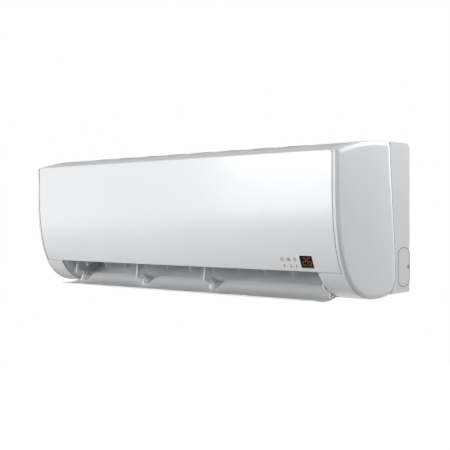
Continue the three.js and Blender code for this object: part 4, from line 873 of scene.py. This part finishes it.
def distance_to(line, point):
    """How far a point is from a line of points, all in the Y-Z plane."""
    nearest = 1.0
    for start, end in zip(line, line[1:]):
        foot, share = geometry.intersect_point_line(point, start, end)
        foot = start.lerp(end, min(max(share, 0.0), 1.0))
        nearest = min(nearest, (foot - point).length)
    return nearest


def fall(distance, drop):
    """How far the side face has fallen away at a distance from the rim."""
    near = max(1.0 - distance / rim_width, 0.0)
    turn = max(edge_radius - distance, 0.0)
    return drop * near * near + edge_radius - math.sqrt(edge_radius ** 2 - turn ** 2)


def soft_top(one, other):
    """The larger of two falls, rounded where they meet."""
    return (one ** 3 + other ** 3) ** (1.0 / 3.0)


def end_cap():
    """The skin of the right cap: its side face, and a rim drawn in to the casing."""
    shape = bmesh.new()
    outline = [*cap_line, *seam_line[1:-1]]
    rim = [shape.verts.new((cap_outer_x, *point)) for point in outline]
    face = shape.faces.new(rim)
    face.normal_update()
    if face.normal.x < 0.0:
        bmesh.ops.reverse_faces(shape, faces=[face])
    for width in ring_widths:
        bmesh.ops.inset_region(shape, faces=[face], thickness=width, use_boundary=True,
                               use_even_offset=True)
    for vert in shape.verts:
        point = Vector((vert.co.y, vert.co.z))
        front = fall(distance_to(cap_line, point), rim_drop)
        rear = fall(distance_to(seam_line, point), seam_rim_drop)
        vert.co.x = cap_outer_x - soft_top(front, rear)
    border = [edge for edge in shape.edges if edge.is_boundary]
    points, _ = draw_out(shape, border, 0.0)
    for vert in points:
        vert.co.x = cap_inner_x
    bmesh.ops.recalc_face_normals(shape, faces=shape.faces)
    return shape


stand_in("right_end_cap", end_cap(), gloss, 0.0, 50.0, cap_wall)
cap = end_cap()
bmesh.ops.scale(cap, verts=cap.verts, vec=(-1.0, 1.0, 1.0))
bmesh.ops.reverse_faces(cap, faces=cap.faces)
stand_in("left_end_cap", cap, gloss, 0.0, 50.0, cap_wall)

gap_shadow_end = 0.4249
gap_shadow_half = 0.0007
cover_inner_x = 0.4226
cover_low = Vector((-0.0337, -0.1144))
cover_high = Vector((-0.0015, -0.0479))
cover_corner = 0.013
cover_notch = [(-0.0052, -0.0785), (-0.0052, -0.0835), (-0.0066, -0.0835), (-0.0066, -0.0785)]
front_y, back_y = cover_low.x + cover_corner, cover_high.x - cover_corner
bottom_z, top_z = cover_low.y + cover_corner, cover_high.y - cover_corner
cover_line = []
for quarter, centre in enumerate([(back_y, top_z), (front_y, top_z), (front_y, bottom_z),
                                  (back_y, bottom_z)]):
    for step in range(9):
        angle = math.radians(90 * quarter + step * 90.0 / 8.0)
        spoke = Vector((math.cos(angle), math.sin(angle)))
        cover_line.append(Vector(centre) + spoke * cover_corner)
cover_line.append(cover_line[0])
# Dark rubber strips in the cap's seam, round the pipe cover and in its notch: painted shadow for
# the gap lines.
for side_name, side in (("right", 1.0), ("left", -1.0)):
    gap_shadow = bmesh.new()
    for line, half, start in ((between(seam_line, 0.003, 0.997), gap_shadow_half, cap_inner_x),
                              (cover_line, gap_shadow_half * 0.6, cover_inner_x)):
        inner = inside(line, half)
        outer = inside(line, -half)
        for quad in zip(inner, inner[1:], outer[1:], outer):
            bar(gap_shadow, quad, side * start, side * gap_shadow_end)
    bar(gap_shadow, cover_notch, side * cover_inner_x, side * gap_shadow_end)
    weld(gap_shadow)
    settle(gap_shadow, f"seam_gap_shadow_{side_name}", rubber, "casing", 0.0)


# ---------------------------------------- front panel
# The big bowed panel, one gloss moulding with ribs on its back, swings up on two pins at its top
# corners. Thin black strips recessed in the gaps at its ends are painted shadow for the gap lines.
# A small smoked window at its lower right shows the display.
smoked = Finish("smoked_window", specular_ior_level=0.12, alpha=0.45)
smoked.vary(smoked.noise(80.0), (0.010, 0.010, 0.013), (0.018, 0.018, 0.022), 0.12, 0.05)

panel_end = 0.4176
panel_top = 0.1129
panel_bottom = -0.087
panel_thickness = 0.0026
panel_corner = 0.006
window_left = 0.335
window_right = 0.362
window_top = -0.0605
window_bottom = -0.0810
window_gap = 0.0003
face_line = [Vector((-0.200, panel_top)), *chin]
bottom_share = crossing(face_line, 1, panel_bottom)
panel_line = between(face_line, 0.0, bottom_share)
for height in (window_top + window_gap, window_bottom - window_gap):
    index = next(index for index, point in enumerate(panel_line) if point.y < height)
    above, below = panel_line[index - 1], panel_line[index]
    panel_line.insert(index, above.lerp(below, (above.y - height) / (above.y - below.y)))
shape = bmesh.new()
_, edges = chain(shape, [(-panel_end, *point) for point in panel_line])
stations = [-panel_end, window_left - window_gap, window_right + window_gap, panel_end]
for left, right in zip(stations, stations[1:]):
    _, edges = draw_out(shape, edges, right - left)
opening = [face for face in shape.faces
           if window_left < face.calc_center_median().x < window_right
           and window_bottom < face.calc_center_median().z < window_top]
bmesh.ops.delete(shape, geom=opening, context="FACES")
corners = [vert for vert in shape.verts
           if abs(vert.co.x) > panel_end - 1e-6 and vert.co.z > panel_top - 1e-6]
bmesh.ops.bevel(shape, geom=corners, offset=panel_corner, offset_type="OFFSET", segments=8,
                profile=0.5, affect="VERTICES", material=-1)
bmesh.ops.recalc_face_normals(shape, faces=shape.faces)
if next(iter(shape.faces)).normal.y > 0.0:
    bmesh.ops.reverse_faces(shape, faces=shape.faces)
stand_in("front_panel", shape, gloss, 0.0009, 30.0, panel_thickness)

pin_y = -0.1968
pin_z = 0.1100
pin_profile = [(0.4056, 0.0), (0.4056, 0.0020), (0.4060, 0.0024), (0.4140, 0.0024),
               (0.4146, 0.0015), (0.4206, 0.0015), (0.4211, 0.0010), (0.4211, 0.0)]
# Dark rubber strips recessed in the gaps at the panel's ends: painted shadow that darkens the gap
# lines.
panel_shadow_to = 0.4186
pins = bmesh.new()
gap_shadow_strips = bmesh.new()
for side in (-1.0, 1.0):
    turned(pins, [(side * x, radius) for x, radius in pin_profile], pin_y, pin_z, 20)
    bar(gap_shadow_strips, wall(between(face_line, 0.004, bottom_share), 0.0020, 0.0001),
        side * (panel_end + 0.0001), side * panel_shadow_to)
settle(pins, "panel_pins", gloss, "panel", 0.0)
settle(gap_shadow_strips, "panel_gap_shadows", rubber, "casing", 0.0)

panel_rib_half = 0.0007
panel_rib_depth = 0.0026
panel_rib_from = panel_thickness - 0.0002
rib_line = between(face_line, 0.06, bottom_share - 0.10)
shape = bmesh.new()
for x in (-0.30, -0.18, -0.06, 0.06, 0.18, 0.30):
    bar(shape, wall(rib_line, panel_rib_depth, panel_rib_from), x - panel_rib_half,
        x + panel_rib_half)
for share in (0.10, 0.34, 0.58):
    bar(shape, wall(between(face_line, share, share + 0.005), panel_rib_depth, panel_rib_from),
        -0.385, 0.325)
settle(shape, "panel_ribs", gloss, "panel", 0.0002)
dress("display_window", smoked)


# ---------------------------------------- display
# The display board sits behind the window with a block of two seven-segment digits on it. Three
# marks and three small red lamps beside the window are printed on and set in the panel.
dress("display_board", board, 0.0001)
glow = Finish("smoked_window", roughness=0.4)
flicker = glow.noise(600.0)
glow.set(base_color=glow.blend(flicker, (0.42, 0.13, 0.06), (0.50, 0.17, 0.08)),
         emission_color=glow.blend(flicker, (0.85, 0.22, 0.07), (1.0, 0.30, 0.10)),
         emission_strength=0.8)
print_grey = Finish("smoked_window", roughness=0.5)
mottle = print_grey.noise(400.0)
print_grey.set(base_color=print_grey.blend(mottle, (0.035, 0.065, 0.10), (0.055, 0.09, 0.13)))
lamp_red = Finish("smoked_window", roughness=0.3)
mottle = lamp_red.noise(500.0)
lamp_red.set(base_color=lamp_red.blend(mottle, (0.40, 0.10, 0.06), (0.48, 0.15, 0.09)))


def casing_spot(height, depth):
    """Where the casing's front is at a height, a depth behind its face, and which way it faces."""
    for start, end in zip(chin, chin[1:]):
        if end.y <= height <= start.y:
            share = (height - start.y) / (end.y - start.y)
            spot = start.lerp(end, share)
            way = (end - start).normalized()
            outward = Vector((way.y, -way.x))
            return spot - outward * depth, outward
    return chin[0], Vector((-1.0, 0.0))


def seat(shape, x, height, depth):
    """Moves flat artwork, drawn in X and Y round the origin, on to the casing's front."""
    spot, outward = casing_spot(height, depth)
    up = Vector((0.0, -outward.y, outward.x))
    up = up if up.z > 0.0 else -up
    turn = Matrix((Vector((1.0, 0.0, 0.0)), up, Vector((0.0, outward.x, outward.y)))).transposed()
    bmesh.ops.rotate(shape, verts=shape.verts, cent=(0.0, 0.0, 0.0), matrix=turn)
    bmesh.ops.translate(shape, verts=shape.verts, vec=(x, spot.x, spot.y))


def slab(shape, centre_x, centre_y, width, height, thickness, base=0.0):
    """A small upright block in the artwork's own plane, its face at base + thickness."""
    made = bmesh.ops.create_cube(shape, size=1.0)["verts"]
    bmesh.ops.scale(shape, verts=made, vec=(width, height, thickness))
    bmesh.ops.translate(shape, verts=made, vec=(centre_x, centre_y, base + thickness / 2.0))


def soften(shape, width):
    """Rounds every edge off."""
    bmesh.ops.bevel(shape, geom=shape.edges[:], offset=width, offset_type="OFFSET", segments=2,
                    profile=0.5, affect="EDGES", material=-1)


digit_width = 0.0070
digit_height = 0.0125
stroke = 0.0006
window_x = 0.3470
window_z = -0.0708
segment_places = {
    "top": (0.0, 0.5), "middle": (0.0, 0.0), "bottom": (0.0, -0.5),
    "upper_left": (-0.5, 0.25), "upper_right": (0.5, 0.25),
    "lower_left": (-0.5, -0.25), "lower_right": (0.5, -0.25),
}
digits = {
    -0.0055: ["top", "upper_right", "middle", "lower_left", "bottom"],
    0.0055: ["top", "upper_left", "middle", "lower_left", "lower_right", "bottom"],
}
shape = bmesh.new()
for centre, lit in digits.items():
    for name in lit:
        across, up = segment_places[name]
        flat = name in ("top", "middle", "bottom")
        width = digit_width - stroke if flat else stroke
        height = stroke if flat else digit_height / 2.0 - stroke
        slab(shape, centre + across * digit_width, up * digit_height, width, height, 0.0001)
seat(shape, window_x, window_z, 0.0027)
settle(shape, "display_digits", glow, "casing", 0.0)

block_width = 0.0235
block_height = 0.0172
block_depth = 0.0048
shape = bmesh.new()
slab(shape, 0.0, 0.0, block_width, block_height, block_depth, -block_depth)
soften(shape, 0.0004)
seat(shape, window_x, window_z, 0.0028)
settle(shape, "display_block", smoked, "casing", 0.0)


def ring_mark(shape, radius, gap_share):
    """A thin printed ring, open at the top where gap_share is above nought."""
    _, edges = circle(shape, radius, 28)
    inner, _ = draw_out(shape, edges, 0.0)
    bmesh.ops.scale(shape, verts=inner, vec=(0.72, 0.72, 1.0))
    if gap_share:
        open_faces = [face for face in shape.faces
                      if face.calc_center_median().y > radius * (1.0 - gap_share)]
        bmesh.ops.delete(shape, geom=open_faces, context="FACES")


print_stand = 0.00006
mark_z = -0.0668
power_x = 0.2940
fan_speed_x = 0.3090
timer_x = 0.3236
line_width = 0.0009
marks = bmesh.new()
ring_mark(marks, 0.0033, 0.35)
slab(marks, 0.0, 0.0021, line_width, 0.0032, print_stand)
seat(marks, power_x, mark_z, -print_stand)
settle(marks, "mark_power", print_grey, "panel", 0.0)
marks = bmesh.new()
for step in (-1.0, 0.0, 1.0):
    slab(marks, 0.0, step * 0.0023, 0.0062, 0.0010, print_stand)
for side in (-1.0, 1.0):
    slab(marks, side * 0.0029, 0.0, line_width, 0.0054, print_stand)
seat(marks, fan_speed_x, mark_z, -print_stand)
settle(marks, "mark_fan_speed", print_grey, "panel", 0.0)
marks = bmesh.new()
ring_mark(marks, 0.0030, 0.0)
slab(marks, 0.0, 0.0007, line_width, 0.0024, print_stand)
seat(marks, timer_x, mark_z, -print_stand)
settle(marks, "mark_timer", print_grey, "panel", 0.0)

lamp_z = -0.0780
lamp_width = 0.0016
lamp_height = 0.0060
lamp_depth = 0.0004
for index, x in enumerate((0.2960, 0.3110, 0.3240)):
    shape = bmesh.new()
    slab(shape, 0.0, 0.0, lamp_width, lamp_height, lamp_depth, -lamp_depth / 2.0)
    soften(shape, 0.0001)
    seat(shape, x, lamp_z, -0.0001)
    settle(shape, f"lamp_{index + 1}", lamp_red, "panel", 0.0)


# ---------------------------------------- case screws
# Two zinc-plated screws hold the outlet lip to the chassis, each in a recess under the casing.
for node in ["case_screw_left", "case_screw_right"]:
    dress(node, zinc)


# ---------------------------------------- room
# A pale floor well below the unit, a white surround and soft studio light, the main part of it
# from the front at the unit's own height.
floor_mesh = bpy.data.meshes.new("floor")
shape = bmesh.new()
bmesh.ops.create_grid(shape, x_segments=1, y_segments=1, size=12.0)
bmesh.ops.translate(shape, verts=shape.verts, vec=(0.0, 0.0, -2.2))
shape.to_mesh(floor_mesh)
shape.free()
floor = bpy.data.objects.new("floor", floor_mesh)
bpy.context.scene.collection.objects.link(floor)

ground = Finish("floor")
speckle = ground.noise(3.0)
seen = ground.node("ShaderNodeLightPath", {}, {}, "Is Camera Ray")
shiny = ground.node("ShaderNodeLightPath", {}, {}, "Is Glossy Ray")
through = ground.node("ShaderNodeLightPath", {}, {}, "Is Transmission Ray")
ground.set(base_color=ground.blend(speckle, (0.33, 0.33, 0.335), (0.37, 0.37, 0.375)),
           roughness=0.8, emission_color=(1.0, 1.0, 1.0),
           emission_strength=(seen + through + shiny * 0.4) * 0.96)
floor_mesh.materials.append(ground.material)

world = bpy.data.worlds.new("surround")
bpy.context.scene.world = world
world.use_nodes = True
air = world.node_tree.nodes
join = world.node_tree.links.new
paths = air.new("ShaderNodeLightPath")
mixer = air.new("ShaderNodeMixShader")
for socket, strength in ((1, 0.06), (2, 1.0)):
    background = air.new("ShaderNodeBackground")
    background.inputs["Color"].default_value = (1.0, 1.0, 1.0, 1.0)
    background.inputs["Strength"].default_value = strength
    join(background.outputs[0], mixer.inputs[socket])
share = paths.outputs["Is Camera Ray"]
for kind in ("Is Glossy Ray", "Is Transmission Ray"):
    total = air.new("ShaderNodeMath")
    total.operation = "ADD"
    total.use_clamp = True
    join(share, total.inputs[0])
    join(paths.outputs[kind], total.inputs[1])
    share = total.outputs[0]
join(share, mixer.inputs[0])
join(mixer.outputs[0], air["World Output"].inputs["Surface"])


def softbox(name, place, aim, width, height, watts):
    """A rectangular lamp at a place, turned to face another."""
    lamp = bpy.data.lights.new(name, "AREA")
    lamp.shape = "RECTANGLE"
    lamp.size = width
    lamp.size_y = height
    lamp.energy = watts
    holder = bpy.data.objects.new(name, lamp)
    bpy.context.scene.collection.objects.link(holder)
    holder.location = place
    direction = Vector(aim) - Vector(place)
    holder.rotation_euler = direction.to_track_quat("-Z", "Y").to_euler()


middle = (0.0, -0.1, 0.0)
softbox("front_box", (-0.81, -2.25, 0.08), middle, 1.8, 0.6, 17.5)
softbox("upper_box", (-0.81, -2.20, 0.50), middle, 1.8, 0.6, 18.0)
softbox("right_box", (1.10, -1.90, 0.60), middle, 1.2, 0.5, 4.5)
softbox("band_box", (-2.13, -2.09, -0.26), middle, 3.0, 0.45, 3.0)
softbox("top_box", (-0.63, -1.73, 1.54), middle, 1.6, 1.0, 5.5)
softbox("side_box", (2.37, -0.21, 0.33), middle, 1.2, 1.2, 8.0)
softbox("rear_box", (1.10, 0.90, 0.75), (0.42, -0.1, 0.0), 0.8, 0.8, 10.0)
softbox("back_box", (0.70, 2.60, 1.00), middle, 2.6, 1.8, 42.0)
softbox("under_box", (0.0, 1.10, -1.30), (0.0, -0.05, -0.13), 2.6, 1.5, 9.0)
